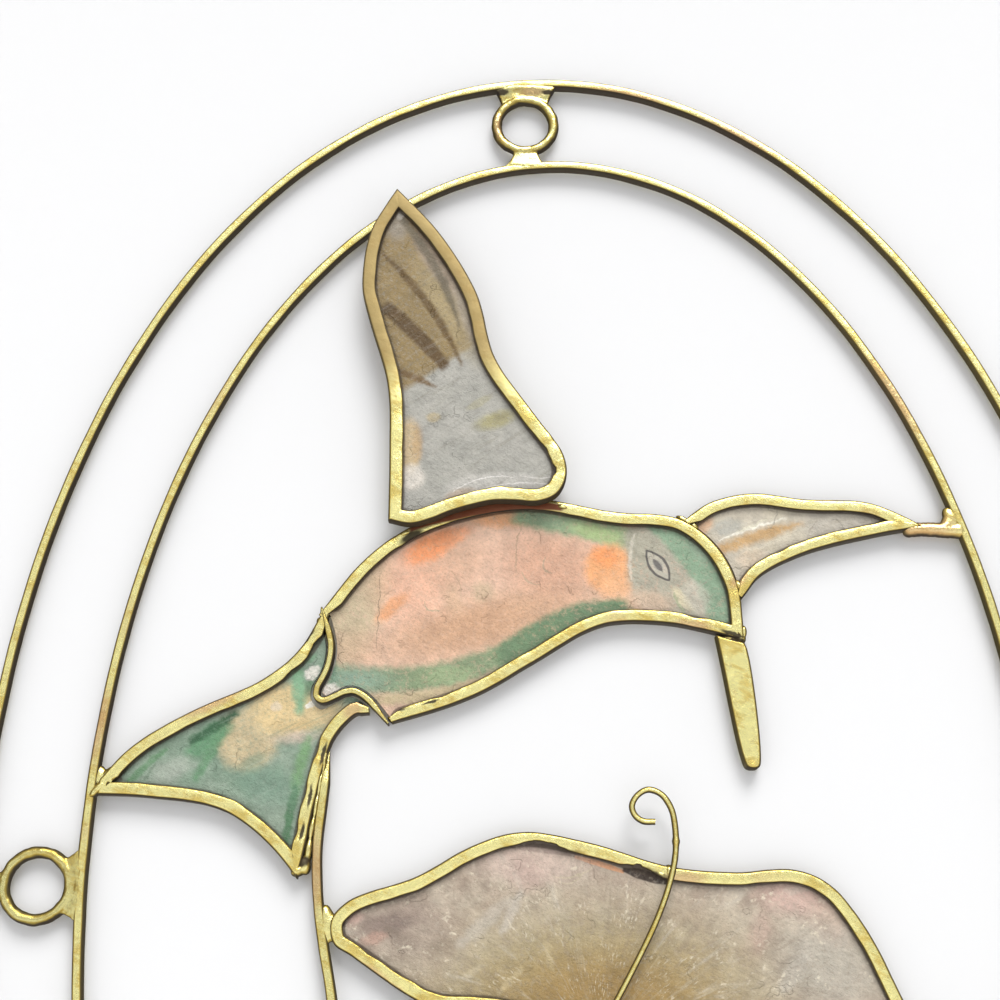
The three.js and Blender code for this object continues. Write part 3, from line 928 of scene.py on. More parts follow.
def shell_look(name, base, cloudy, layers, settings, streaks=None, fleck=0.0, centre=None, ragged=0.8,
               cracks=0.45, tone=0.93, sand=0.0, drawn_on=None):
    """Painted or natural capiz shell under a clear polish. streaks are a direction, a dark and a
    light colour; rays and flecks run out from centre; drawn_on adds lines over everything."""
    look = Finish(name, ragged, 1.6)
    skin = look.mix(base, cloudy, look.step(look.grain(6.0, detail=5, roughness=0.6), 0.35, 0.65))
    if streaks:
        turn, dark, light = streaks
        fibres = look.grain(0.8, detail=5, roughness=0.65, stretch=12, turn=turn)
    if centre:
        dx, dz = look.true_across - centre[0], look.true_up - centre[1]
        angle = dx.math("ARCTAN2", dx, dz)
        far = (dx * dx + dz * dz) ** 0.5

        def radial(around, outward, **kind):
            spot = look.node("ShaderNodeCombineXYZ", None, {0: angle * around, 1: far * outward, 2: 0.0})
            grains = look.node("ShaderNodeTexNoise", None, {"Vector": spot.outputs[0], "Scale": 1.0, **kind})
            return look.term(grains.outputs[0])

        ray = radial(9, 0.07, Detail=6.0, Roughness=0.62, Distortion=0.6)
        dash = radial(42, 0.8, Detail=4.0, Roughness=0.6)
    skin = look.painted(skin, layers)
    if streaks:
        skin = look.mix(skin, look.mix(dark, skin, 0.6), look.step(fibres, 0.52, 0.70) * 0.7)
        skin = look.mix(skin, look.mix(light, skin, 0.8), look.step(fibres, 0.46, 0.30) * 0.6)
    if centre:
        skin = look.mix(skin, rgb(214, 206, 190), look.step(ray, 0.54, 0.74) * 0.5)
        skin = look.mix(skin, rgb(140, 124, 106), look.step(ray, 0.47, 0.30) * 0.4)
    mottle = look.grain(0.55, detail=5, roughness=0.7)
    cloud = look.grain(2.8, detail=4, roughness=0.6)
    vein = look.step(abs(look.grain(8.0, detail=4, roughness=0.55) - 0.5), 0.010, 0.0)
    vein = vein * look.step(look.grain(4.0, detail=2), 0.50, 0.62)
    skin = look.mix(skin, look.shade(skin, 0.66), vein * cracks)
    fine, broad = look.step(mottle, 0.30, 0.70), look.step(cloud, 0.32, 0.68)
    skin = look.shade(skin, tone * 0.83 + (0.16 * tone) * fine + (0.18 * tone) * broad)
    if sand:
        skin = look.mix(skin, look.shade(skin, 0.62),
                        look.step(look.grain(0.32, detail=3), 0.56, 0.70) * sand)
    if fleck:
        clumps = look.step(look.grain(4.5, detail=4), 0.48, 0.62)
        skin = look.mix(skin, rgb(236, 226, 202), look.step(dash, 0.53, 0.66) * clumps * fleck)
    rim = look.term(look.node("ShaderNodeAttribute", {"attribute_name": RIM}).outputs["Fac"])
    # Dark brown along the came's lip: painted shadow of the lip on the shell, with some grime
    lip_shadow_and_grime = look.step(rim, 1.5, -0.2) * 0.16 + look.step(rim, 0.42, 0.08) * 0.62
    skin = look.mix(skin, rgb(62, 46, 30), lip_shadow_and_grime)
    if drawn_on:
        skin = drawn_on(look, skin)
    height = look.grain(1.3, detail=7, roughness=0.68, stretch=2, turn=30) + 0.5 * mottle - 0.3 * vein
    rough = 0.34 + 0.16 * cloud
    return look.surface(Base_Color=skin, Roughness=rough, Coat_Weight=settings.coat, Coat_Roughness=0.12,
                        Specular_IOR_Level=0.4, Normal=look.relief(height, 0.00042, 1.0))


# Layers of paint, as the names and values of the methods of Finish that draw their shapes

def patch(centre, size, shade, strength=1.0, turn=0.0, edge=0.35):
    return ("patch", {"centre": centre, "size": size, "turn": turn, "edge": edge}, shade, strength)


def stroke(start, end, width, shade, strength=1.0, bow=0.0, tips=(0.5, 0.5), edge=0.25, true=False):
    shape = {"start": start, "end": end, "width": width, "bow": bow, "tips": tips, "edge": edge, "true": true}
    return ("stroke", shape, shade, strength)


def beside(start, end, shade, strength=1.0, edge=0.6):
    return ("beside", {"start": start, "end": end, "edge": edge}, shade, strength)


UPPER_WING_PAINT = [
    beside((-27.0, -63.5), (-4.0, -47.5), rgb(147, 125, 81), edge=0.8),
    patch((-14.5, -44.0), (3.6, 11.0), rgb(174, 156, 116), 0.75, turn=28, edge=0.5),
    patch((-10.8, -46.5), (1.8, 8.5), rgb(172, 160, 144), 0.8, turn=20, edge=0.5),
    patch((-17.5, -35.0), (1.6, 7.5), rgb(170, 152, 138), 0.7, turn=32, edge=0.5),
    patch((-24.5, -27.5), (2.0, 3.0), rgb(160, 150, 136), 0.8, edge=0.5),
    stroke((-24.6, -25.2), (-12.8, -48.6), 1.6, rgb(106, 96, 76), 0.9, bow=1.6, tips=(0.7, 0.3), edge=0.5),
    stroke((-27.6, -32.9), (-12.4, -55.9), 1.5, rgb(104, 80, 38), 1.0, bow=1.5, tips=(0.45, 0.3), edge=0.45),
    stroke((-26.9, -43.8), (-15.3, -56.3), 2.7, rgb(92, 68, 30), 1.0, bow=0.5, tips=(0.95, 0.75), edge=0.5),
    stroke((-24.6, -56.7), (-17.1, -60.2), 1.3, rgb(114, 88, 50), 0.95, bow=0.15, tips=(0.9, 0.35), edge=0.4),
    patch((-23.4, -24.6), (0.7, 1.8), rgb(214, 206, 194), 0.9, turn=-35),
    patch((-6.2, -66.6), (3.6, 1.5), rgb(170, 162, 118), 0.9, turn=18, edge=0.5),
    patch((-9.2, -63.2), (2.6, 0.8), rgb(178, 172, 142), 0.6, turn=30),
    patch((-22.0, -71.5), (2.2, 5.2), rgb(214, 188, 144), 0.9, edge=0.25),
    patch((-20.4, -71.0), (1.0, 3.4), rgb(176, 140, 96), 0.5, edge=0.5),
    patch((-21.6, -77.4), (2.4, 2.4), rgb(224, 216, 204), 0.85, edge=0.3),
    patch((-17.6, -66.0), (1.3, 0.9), rgb(190, 172, 132), 0.7),
    patch((-6.6, -79.6), (9.0, 3.0), rgb(200, 196, 188), 0.8, turn=4, edge=0.12),
    patch((-12.6, -81.2), (3.0, 1.5), rgb(196, 168, 140), 0.6, turn=15),
    stroke((-14.0, -80.2), (-3.0, -77.6), 0.22, rgb(236, 232, 226), 0.9, bow=1.2, edge=0.1),
    stroke((-12.0, -80.6), (3.5, -79.0), 0.2, rgb(238, 234, 228), 0.8, bow=1.0, edge=0.1),
    stroke((-2.0, -77.2), (5.0, -77.6), 0.2, rgb(232, 228, 222), 0.7, bow=-0.4, edge=0.1),
]

SALMON = rgb(218, 184, 160)
BODY_PAINT = [
    patch((-38.0, -97.5), (12.0, 18.0), rgb(190, 174, 143), 0.95, turn=-18, edge=0.18),
    patch((-33.0, -108.5), (5.5, 3.5), rgb(204, 172, 142), 0.6, turn=20, edge=0.5),
    patch((-8.0, -92.0), (16.0, 5.5), rgb(226, 188, 164), 0.6, turn=-4, edge=0.6),
    patch((-6.0, -103.0), (15.0, 4.0), rgb(212, 170, 134), 0.6, turn=12, edge=0.6),
    patch((-12.0, -104.6), (15.0, 4.2), rgb(190, 146, 112), 0.6, turn=14, edge=0.7),
    patch((3.6, -93.4), (9.0, 5.6), rgb(196, 144, 114), 0.6, turn=-8, edge=0.6),
    patch((-14.0, -92.6), (5.5, 4.5), rgb(204, 160, 128), 0.5, turn=20, edge=0.7),
    patch((-22.0, -97.0), (6.0, 6.0), rgb(230, 168, 136), 0.45, turn=20, edge=0.7),
    patch((-18.4, -89.6), (4.6, 2.4), rgb(250, 158, 100), 0.85, turn=28, edge=0.45),
    patch((-14.2, -87.4), (3.2, 1.6), rgb(240, 160, 112), 0.7, turn=20, edge=0.5),
    patch((-5.0, -84.2), (6.0, 1.7), rgb(238, 172, 120), 0.8, turn=2, edge=0.5),
    patch((-25.0, -100.6), (3.4, 1.3), rgb(222, 156, 108), 0.8, turn=42, edge=0.45),
    stroke((-3.0, -83.4), (19.0, -89.4), 4.8, rgb(146, 166, 126), 1.0, bow=0.9, tips=(0.8, 0.9), edge=0.8),
    patch((2.0, -84.6), (5.0, 1.8), rgb(126, 146, 122), 0.7, turn=-12, edge=1.0),
    patch((12.0, -87.4), (5.0, 1.4), rgb(172, 192, 132), 0.7, turn=-16, edge=0.5),
    patch((14.2, -94.0), (4.8, 4.6), rgb(232, 166, 112), 0.95, turn=-28, edge=0.22),
    patch((15.6, -98.2), (3.2, 2.8), rgb(236, 184, 140), 0.85, turn=-40, edge=1.0),
    patch((12.8, -91.6), (2.4, 1.6), rgb(246, 158, 96), 0.8, turn=-20, edge=0.5),
    patch((25.6, -94.8), (8.6, 10.6), rgb(172, 167, 149), 1.0, turn=8, edge=0.12),
    patch((19.6, -89.0), (3.2, 3.6), rgb(172, 167, 149), 0.95, turn=-20, edge=0.3),
    patch((20.6, -100.2), (4.0, 2.2), rgb(212, 184, 158), 0.8, turn=-10, edge=0.5),
    stroke((18.6, -87.4), (17.6, -96.0), 0.7, rgb(224, 216, 200), 0.6, bow=-0.6),
    stroke((21.6, -85.6), (33.2, -105.4), 5.4, rgb(138, 164, 136), 1.0, bow=3.4, tips=(0.5, 0.9), edge=0.7),
    patch((30.4, -89.8), (2.0, 3.2), rgb(168, 184, 162), 0.5, turn=35, edge=0.5),
    patch((26.4, -99.4), (1.0, 2.6), rgb(226, 214, 178), 0.7, turn=38, edge=0.4),
    stroke((24.9, -98.4), (27.0, -102.6), 0.5, rgb(158, 166, 132), 0.7),
    patch((29.0, -99.2), (2.2, 3.0), rgb(198, 192, 176), 0.6, turn=20, edge=0.3),
    stroke((-36.5, -112.4), (-1.0, -107.2), 4.6, rgb(124, 146, 110), 0.95, bow=-3.4, tips=(0.95, 0.9),
           edge=1.0),
    stroke((-6.0, -110.6), (17.0, -100.6), 4.6, rgb(106, 132, 98), 1.0, bow=2.0, tips=(1.0, 0.6), edge=0.8),
    patch((-31.5, -113.4), (5.5, 2.0), rgb(138, 164, 146), 0.85, turn=-4, edge=1.0),
    patch((-15.0, -112.8), (5.0, 1.5), rgb(160, 178, 134), 0.6, turn=4, edge=0.5),
    patch((-35.6, -110.4), (0.9, 3.8), rgb(96, 128, 106), 0.7, turn=10, edge=0.5),
    stroke((-31.5, -116.7), (-5.6, -112.8), 2.0, rgb(192, 176, 138), 0.9, bow=-1.7, tips=(0.6, 0.3),
           edge=0.7),
    patch((-35.4, -115.1), (1.5, 1.1), rgb(228, 222, 212), 0.9, turn=20, edge=0.25),
    patch((-8.8, -97.9), (1.9, 1.7), rgb(184, 166, 134), 0.6, edge=0.6),
    patch((-14.2, -99.0), (1.6, 2.6), rgb(206, 172, 138), 0.5, turn=15, edge=0.6),
    stroke((-19.2, -99.4), (-16.4, -101.0), 0.35, rgb(156, 152, 124), 0.7, bow=-1.1),
    stroke((2.4, -91.6), (3.6, -94.8), 0.35, rgb(160, 146, 120), 0.7, bow=-0.9),
    stroke((-2.0, -94.0), (1.4, -96.6), 0.35, rgb(166, 154, 126), 0.6, bow=-0.9),
    stroke((-1.9, -85.9), (-2.8, -94.6), 0.3, rgb(174, 144, 118), 0.7, bow=-0.5),
    stroke((-14.4, -94.0), (-12.6, -97.8), 0.25, rgb(184, 152, 124), 0.7, bow=0.2),
    stroke((-27.0, -93.8), (-27.6, -107.9), 0.16, rgb(134, 112, 92), 0.8, edge=0.07),
    stroke((28.4, -98.4), (31.4, -96.0), 0.16, rgb(160, 152, 138), 0.6, edge=0.07),
]

TAIL_PAINT = [
    patch((-49.6, -123.6), (5.4, 5.2), rgb(206, 186, 146), 0.95, turn=40, edge=0.25),
    patch((-43.6, -118.6), (5.6, 4.4), rgb(226, 200, 148), 1.0, turn=-10, edge=0.35),
    patch((-36.8, -119.2), (4.2, 2.8), rgb(218, 194, 146), 0.95, turn=-12, edge=0.7),
    patch((-40.6, -121.6), (2.6, 1.2), rgb(214, 186, 134), 0.7, turn=10, edge=0.5),
    patch((-41.2, -123.4), (3.4, 1.0), rgb(214, 194, 176), 0.8, turn=4, edge=0.9),
    patch((-44.9, -118.0), (0.9, 0.9), rgb(224, 208, 186), 0.7),
    stroke((-59.7, -126.4), (-52.6, -120.9), 3.4, rgb(96, 146, 106), 0.92, bow=0.3, tips=(0.7, 0.5),
           edge=0.9),
    stroke((-58.5, -130.6), (-53.9, -122.0), 1.9, rgb(100, 146, 106), 0.88, tips=(0.5, 0.8), edge=0.9),
    stroke((-59.9, -124.3), (-51.4, -118.9), 1.5, rgb(46, 92, 58), 0.96, bow=-0.1, tips=(0.6, 0.9), edge=0.7),
    stroke((-70.4, -131.6), (-63.2, -125.0), 1.2, rgb(98, 142, 100), 0.85, bow=0.3, edge=0.7),
    stroke((-67.4, -130.6), (-65.0, -127.6), 0.5, rgb(84, 116, 88), 0.7),
    patch((-62.8, -128.8), (4.0, 1.8), rgb(166, 174, 160), 0.8, turn=24, edge=0.5),
    stroke((-41.9, -109.6), (-40.7, -119.4), 2.3, rgb(132, 176, 138), 0.95, bow=0.2, tips=(0.8, 0.5),
           edge=0.7),
    patch((-39.9, -109.6), (1.8, 0.9), rgb(128, 168, 134), 0.8, turn=15),
    patch((-39.2, -114.6), (0.8, 1.8), rgb(92, 128, 92), 0.8, turn=-8, edge=0.7),
    patch((-38.7, -112.1), (1.6, 1.1), rgb(230, 225, 214), 0.95, turn=35, edge=0.2),
    patch((-39.0, -117.8), (0.9, 0.6), rgb(236, 232, 220), 0.95, turn=20, edge=0.2),
    stroke((-38.9, -123.2), (-41.4, -134.5), 2.0, rgb(122, 162, 112), 0.88, bow=-0.4, edge=0.9),
    stroke((-41.0, -131.5), (-42.6, -142.6), 1.5, rgb(78, 124, 84), 0.9, bow=-0.2, edge=0.35),
    patch((-48.4, -127.2), (2.2, 0.9), rgb(112, 140, 118), 0.6, turn=25, edge=0.5),
    patch((-46.0, -131.6), (5.0, 3.0), rgb(116, 146, 126), 0.7, turn=-20, edge=0.6),
]

FAR_WING_PAINT = [
    patch((35.2, -86.4), (2.8, 1.5), rgb(184, 182, 172), 0.85, turn=10, edge=0.4),
    patch((30.6, -86.2), (2.2, 1.3), rgb(228, 182, 144), 0.85, turn=35, edge=0.5),
    patch((56.0, -86.0), (8.0, 3.5), rgb(194, 187, 174), 0.85, turn=-2, edge=0.4),
    stroke((33.2, -90.8), (48.6, -85.8), 2.2, rgb(206, 168, 118), 1.0, bow=0.25, tips=(0.9, 0.25), edge=0.7),
    stroke((33.4, -88.9), (46.0, -84.8), 0.5, rgb(246, 240, 224), 0.95, bow=0.25),
    stroke((36.8, -87.4), (42.4, -84.8), 0.5, rgb(230, 224, 200), 0.7, bow=-0.2),
    patch((39.0, -92.2), (2.6, 1.6), rgb(222, 200, 174), 0.7, turn=20, edge=0.5),
    stroke((44.3, -83.2), (42.9, -86.8), 0.2, rgb(168, 158, 140), 0.8, bow=0.2, edge=0.08),
    stroke((51.4, -84.8), (49.4, -88.4), 0.18, rgb(166, 156, 140), 0.7, edge=0.08),
]

PETAL_PAINT = [
    # Near black strokes on either side of the came's pink folded sliver: painted shade in the gaps under the
    # torn came
    stroke((-4.4, -142.4), (6.6, -143.6), 1.5, rgb(40, 24, 15), 0.97, bow=0.4, tips=(0.2, 0.7), edge=0.15,
           true=True),
    stroke((6.4, -144.0), (14.6, -146.6), 0.9, rgb(226, 166, 124), 0.95, bow=0.1, tips=(0.6, 0.6), edge=0.12,
           true=True),
    stroke((14.4, -146.2), (22.2, -148.5), 1.7, rgb(40, 24, 15), 0.95, bow=0.1, tips=(0.4, 0.5), edge=0.15,
           true=True),
    patch((9.0, -167.5), (27.0, 13.5), rgb(170, 156, 112), 0.9, edge=0.6),
    patch((10.5, -168.5), (18.0, 9.0), rgb(160, 128, 70), 0.9, edge=0.7),
    patch((-24.0, -154.0), (11.0, 6.0), rgb(168, 150, 136), 0.7, turn=-25, edge=0.55),
    patch((-25.0, -154.6), (5.0, 1.8), rgb(132, 114, 104), 0.75, turn=12, edge=0.5),
    patch((-22.6, -157.0), (3.0, 1.2), rgb(136, 120, 106), 0.6, turn=-20, edge=0.5),
    patch((-16.0, -158.6), (2.6, 1.2), rgb(148, 132, 112), 0.6, turn=10, edge=0.6),
    patch((-31.0, -153.6), (1.8, 1.2), rgb(206, 172, 158), 0.7, turn=20, edge=0.5),
    patch((-27.4, -157.0), (2.2, 0.9), rgb(200, 160, 142), 0.6, turn=15, edge=0.5),
    patch((-1.4, -144.8), (9.5, 3.2), rgb(216, 192, 178), 0.7, turn=-4, edge=0.5),
    patch((-2.0, -146.6), (2.6, 3.0), rgb(198, 168, 156), 0.5, turn=10, edge=0.6),
    patch((42.6, -150.8), (5.8, 3.0), rgb(214, 178, 166), 0.7, turn=-14, edge=0.55),
    patch((48.8, -155.0), (3.0, 4.0), rgb(206, 178, 160), 0.6, turn=30, edge=0.6),
    patch((37.0, -156.6), (1.6, 3.2), rgb(196, 164, 150), 0.5, turn=-12, edge=0.6),
    patch((47.6, -162.0), (8.0, 6.0), rgb(188, 182, 168), 0.7, turn=-25, edge=0.6),
    stroke((42.9, -153.8), (42.6, -157.0), 1.8, rgb(214, 200, 180), 0.6, edge=0.8),
    stroke((45.0, -158.6), (39.8, -166.2), 2.6, rgb(206, 198, 184), 0.6, bow=0.3, edge=1.0),
    stroke((2.8, -147.2), (9.6, -145.6), 0.3, rgb(206, 192, 164), 0.8, bow=-0.9, edge=0.1),
    stroke((3.6, -148.2), (8.0, -146.6), 0.25, rgb(206, 192, 164), 0.7, bow=-0.7, edge=0.1),
    stroke((-2.6, -149.6), (-6.2, -156.6), 1.6, rgb(206, 198, 186), 0.55, edge=0.7),
    stroke((-4.4, -150.6), (-13.4, -158.4), 2.2, rgb(200, 192, 180), 0.5, edge=0.9),
    stroke((1.0, -156.6), (2.2, -162.6), 1.0, rgb(200, 182, 142), 0.5, edge=0.5),
    stroke((-6.8, -166.0), (-2.6, -161.8), 1.0, rgb(206, 188, 148), 0.5, edge=0.5),
    stroke((-12.4, -163.2), (-8.6, -161.2), 1.0, rgb(200, 186, 156), 0.5, edge=0.5),
]


def eye(look, skin):
    """The painted almond eye, on its own slanted line."""
    start, end = Vector((20.5, -90.6)), Vector((24.3, -96.1))
    middle, half, open_by = (start + end) / 2, (end - start).length / 2, 1.45
    way = (end - start).normalized()
    dx, dz = look.true_across - middle.x, look.true_up - middle.y
    along = dx * way.x + dz * way.y
    over = abs(dz * way.x - dx * way.y)
    wobble = (look.grain(1.2) - 0.5) * 0.35
    lid = (1 - along * along / half ** 2) * open_by - over + wobble
    line = look.step(abs(lid), 0.32, 0.14) * look.step(abs(along), half + 0.35, half)
    skin = look.mix(skin, rgb(208, 202, 188), look.step(lid, 0.0, 0.4) * 0.35)
    skin = look.mix(skin, rgb(84, 80, 78), line * 0.9)
    pupil = (1 - along * along / 1.6 ** 2) * 0.8 - over + wobble * 0.5
    skin = look.mix(skin, rgb(150, 146, 138), look.step(pupil, -0.05, 0.25) * 0.75)
    core = (1 - along * along / 1.5 ** 2) * 0.5 - over + wobble * 0.5
    return look.mix(skin, rgb(96, 92, 90), look.step(core, -0.08, 0.12) * 0.8)


def shell_material(node, settings):
    """The finish of one shell, by its node's name."""
    if node == "upper_wing_shell":
        return shell_look("pearl_wing", rgb(179, 176, 167), rgb(168, 166, 157), UPPER_WING_PAINT, settings,
                          streaks=(-34, rgb(128, 122, 104), rgb(222, 220, 212)), ragged=0.4, cracks=0.1)
    if node == "body_shell":
        return shell_look("salmon_body", SALMON, rgb(230, 192, 166), BODY_PAINT, settings,
                          tone=1.02, sand=0.5, drawn_on=eye)
    if node == "tail_shell":
        return shell_look("green_tail", rgb(150, 167, 148), rgb(130, 154, 132), TAIL_PAINT, settings,
                          streaks=(-25, rgb(118, 140, 120), rgb(204, 212, 196)), cracks=0.3)
    if node == "far_wing_shell":
        return shell_look("cream_wing", rgb(216, 206, 184), rgb(204, 194, 176), FAR_WING_PAINT, settings,
                          streaks=(-18, rgb(170, 156, 132), rgb(240, 234, 218)), cracks=0.3)
    return shell_look("petal_" + node, rgb(200, 186, 166), rgb(178, 160, 142), PETAL_PAINT, settings,
                      fleck=0.55, centre=FLOWER_CENTRE, cracks=0.08)


# Operators

class SUNCATCHER_OT_ovals(bpy.types.Operator):
    """The two ovals of flat-sided wire"""
    bl_idname = "suncatcher.ovals"
    bl_label = "Ovals"

    def execute(self, context):
        wires, finish = context.scene.suncatcher_wires, context.scene.suncatcher_finish
        heat = [((-75.6, -121.0), (1.6, 6.0), -8), ((66.0, -62.0), (3.0, 9.0), 30),
                ((84.0, -90.0), (3.0, 12.0), 20),
                ((40.0, -8.0), (8.0, 3.0), -20), ((22.0, 2.0), (9.0, 2.0), -8),
                ((-60.0, -60.0), (3.0, 6.0), -30)]
        skin = brass("oval_brass", finish, heat=heat, tarnish=0.5, tone=0.94)
        section = bar_section(wires.oval_width / MM, wires.oval_depth / MM, wires.oval_round / MM)
        for seed, node in enumerate(("outer_oval", "inner_oval")):

            def hammered(place, travelled, inward, forward, seed=seed):
                sway = 0.10 * stray(place, 0.0, 14.0, seed)
                worn = 1 + 0.06 * stray(place, 3.0, 6.0, seed)
                return inward * worn + sway, forward + 0.04 * stray(place, inward, 2.2, seed)

            wire(node + "_wire", [oval_line(node, 0.8)], section, 0.0, True, skin, "brass_wire", node,
                 shape=hammered)
        return {"FINISHED"}


def ring_centre(node):
    """Middle of a ring's hole."""
    hole = front_loops(node)[-1]
    return sum(hole, Vector((0, 0))) / len(hole)


def reach_of_ring(node, centre, out):
    """How far a ring's node reaches from its centre, outwards and inwards."""
    low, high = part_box(node)
    if out.y:
        ends = [high.z / MM - centre.y, centre.y - low.z / MM]
    else:
        ends = [high.x / MM - centre.x, centre.x - low.x / MM]
    return ends if out.x + out.y > 0 else ends[::-1]


def ring_mesh(wires, radius):
    """A ring of round wire about the origin, in the plane of the ovals."""
    mesh = bmesh.new()
    made = bmesh.ops.create_circle(mesh, segments=14, radius=wires.ring_wire / 2 / MM + 0.1,
                                   matrix=Matrix.Translation((radius, 0, 0)))
    bmesh.ops.spin(mesh, geom=[*made["verts"], *mesh.edges], axis=(0, 1, 0), cent=(0, 0, 0),
                   angle=math.tau, steps=56, use_merge=True)
    bmesh.ops.rotate(mesh, cent=(0, 0, 0), matrix=Matrix.Rotation(0.11, 3, "Y"), verts=mesh.verts)
    bmesh.ops.remove_doubles(mesh, verts=mesh.verts, dist=WELD)
    bmesh.ops.recalc_face_normals(mesh, faces=mesh.faces)
    return mesh


def ring_foot(mesh, radius, way, reach, near, wide):
    """The solder from a ring to an oval: near and wide are its half widths at the one and the other."""

    def spread_out(side, share):
        aside = side * (near + (wide - near) * min(1, 1.15 * share) ** 2.2)
        begin = math.sqrt(max(0, radius ** 2 - (side * near) ** 2)) - 0.3
        return way * (begin + (reach + 1.1 - begin) * share) + left_of(way) * aside

    def thick(side, share):
        swollen = 0.9 * min(1, 1.25 * share) ** 2 - 3.0 * max(0, share - 0.8)
        return 1.6 + swollen - 0.5 * side * side

    web(mesh, spread_out, thick)


class SUNCATCHER_OT_rings(bpy.types.Operator):
    """The four wire rings with their solder"""
    bl_idname = "suncatcher.rings"
    bl_label = "Rings"

    def execute(self, context):
        wires, finish = context.scene.suncatcher_wires, context.scene.suncatcher_finish
        # Near black spots where the feet meet the ovals
        soot_and_shade = [((-4.4, 2.6), (1.4, 0.7), 0), ((4.6, 2.4), (1.3, 0.6), 0), ((-74.6, -150.5), (0.8, 2.2), 0)]
        heat = [((1.6, 2.6), (2.6, 0.9), 0), ((-5.2, -5.0), (0.8, 3.0), 0)]
        skin = brass("ring_brass", finish, heat=heat, soot_and_shade=soot_and_shade, tarnish=1.0, tone=0.74, flat=(0.95, 0.60))
        outwards = {"hanging_ring": Vector((0, 1)), "left_ring": Vector((-1, 0)),
                    "right_ring": Vector((1, 0)), "bottom_ring": Vector((0, -1))}
        radius = RING_HOLE + wires.ring_wire / 2 / MM
        for seed, (node, out) in enumerate(outwards.items()):
            centre = ring_centre(node)
            to_outer, to_inner = reach_of_ring(node, centre, out)
            feet = (BROAD_FOOT, SLIM_FOOT) if out.y else (SLIM_FOOT, BROAD_FOOT)
            mesh = ring_mesh(wires, radius)
            ring_foot(mesh, radius, out, to_outer, *feet[0])
            ring_foot(mesh, radius, -out, to_inner, *feet[1])
            bmesh.ops.translate(mesh, vec=(centre.x, 0, centre.y), verts=mesh.verts)
            fused(node + "_soldered", mesh, wires.solder_grain, seed * 3.1, "brass_wire", skin, node,
                  lumps=0.12, flow=9)
        return {"FINISHED"}


class SUNCATCHER_OT_cames(bpy.types.Operator):
    """The cames round the wings, body, tail and petals, and the folded beak"""
    bl_idname = "suncatcher.cames"
    bl_label = "Cames"

    def execute(self, context):
        finish, settings = context.scene.suncatcher_finish, context.scene.suncatcher_came
        above_wing = ("beside", {"start": (-40.0, -60.0), "end": (10.0, -59.0), "edge": 7.0})
        wing_brass = brass("wing_brass", finish, dull_and_shaded=(above_wing, rgb(156, 132, 84), 0.92), tarnish=0.3)
        # Dark red-brown band on the body's came under the raised wing: paint and painted shade
        under_wing_paint_and_shade = ("stroke",
                      {"start": (-22.0, -86.6), "end": (5.6, -82.8), "width": 2.6, "bow": 2.2, "true": True})
        bird_brass = brass(
            "bird_brass", finish,
            heat=[((-33.0, -128.0), (3.0, 1.4), 30), ((-56.0, -117.6), (5.0, 1.0), 25),
                  ((36.6, -96.2), (2.0, 1.0), 40),
                  ((28.0, -104.4), (3.0, 0.8), -8), ((-31.5, -118.6), (2.0, 1.6), 50),
                  ((38.0, -84.0), (3.0, 1.0), 20)],
            # Near black at the tail's torn slits, the divider, the body's torn lower edge, the beak's seam
            # and the wing's lower corner: soot, and painted shade in the openings
            soot_and_shade=[((-36.4, -126.4), (0.35, 2.2), -15), ((-38.5, -133.6), (0.35, 2.0), -8),
                  ((-39.7, -139.6), (0.35, 1.6), -8), ((-40.0, -106.4), (0.4, 2.4), -42),
                  ((-25.0, -119.0), (3.0, 0.35), 6),
                  ((-18.0, -117.6), (1.6, 0.25), 16), ((35.1, -106.2), (2.4, 0.4), -20),
                  ((-21.6, -87.8), (2.2, 0.8), 30)],
            dull_and_shaded=(under_wing_paint_and_shade, rgb(112, 40, 24), 0.95))
        petal_brass = brass(
            "petal_brass", finish,
            heat=[((10.0, -145.2), (6.0, 0.9), -12), ((24.6, -147.8), (3.4, 1.0), 0),
                  ((-28.0, -162.6), (3.4, 1.2), -30),
                  ((-24.4, -165.4), (2.2, 1.2), -30)],
            # Near black in the gaps of the petal's torn came: painted shade
            soot_and_shade=[((0.8, -143.0), (6.2, 0.7), -4), ((18.4, -146.9), (3.6, 0.8), -16)])
        for node, shell_node, skin in (
            ("upper_wing_frame", "upper_wing_shell", wing_brass),
            ("body_frame", "body_shell", bird_brass),
            ("tail_frame", "tail_shell", bird_brass),
            ("far_wing_frame", "far_wing_shell", bird_brass),
            ("top_petal_frame", "top_petal_shell", petal_brass),
            ("left_petal_frame", "left_petal_shell", petal_brass),
            ("right_petal_frame", "right_petal_shell", petal_brass),
        ):
            came(node, shell_node, skin, settings)
        folded_beak(brass("beak_brass", finish, tarnish=0.5,
                          soot_and_shade=[((35.0, -106.9), (2.6, 0.5), -16)]))
        return {"FINISHED"}


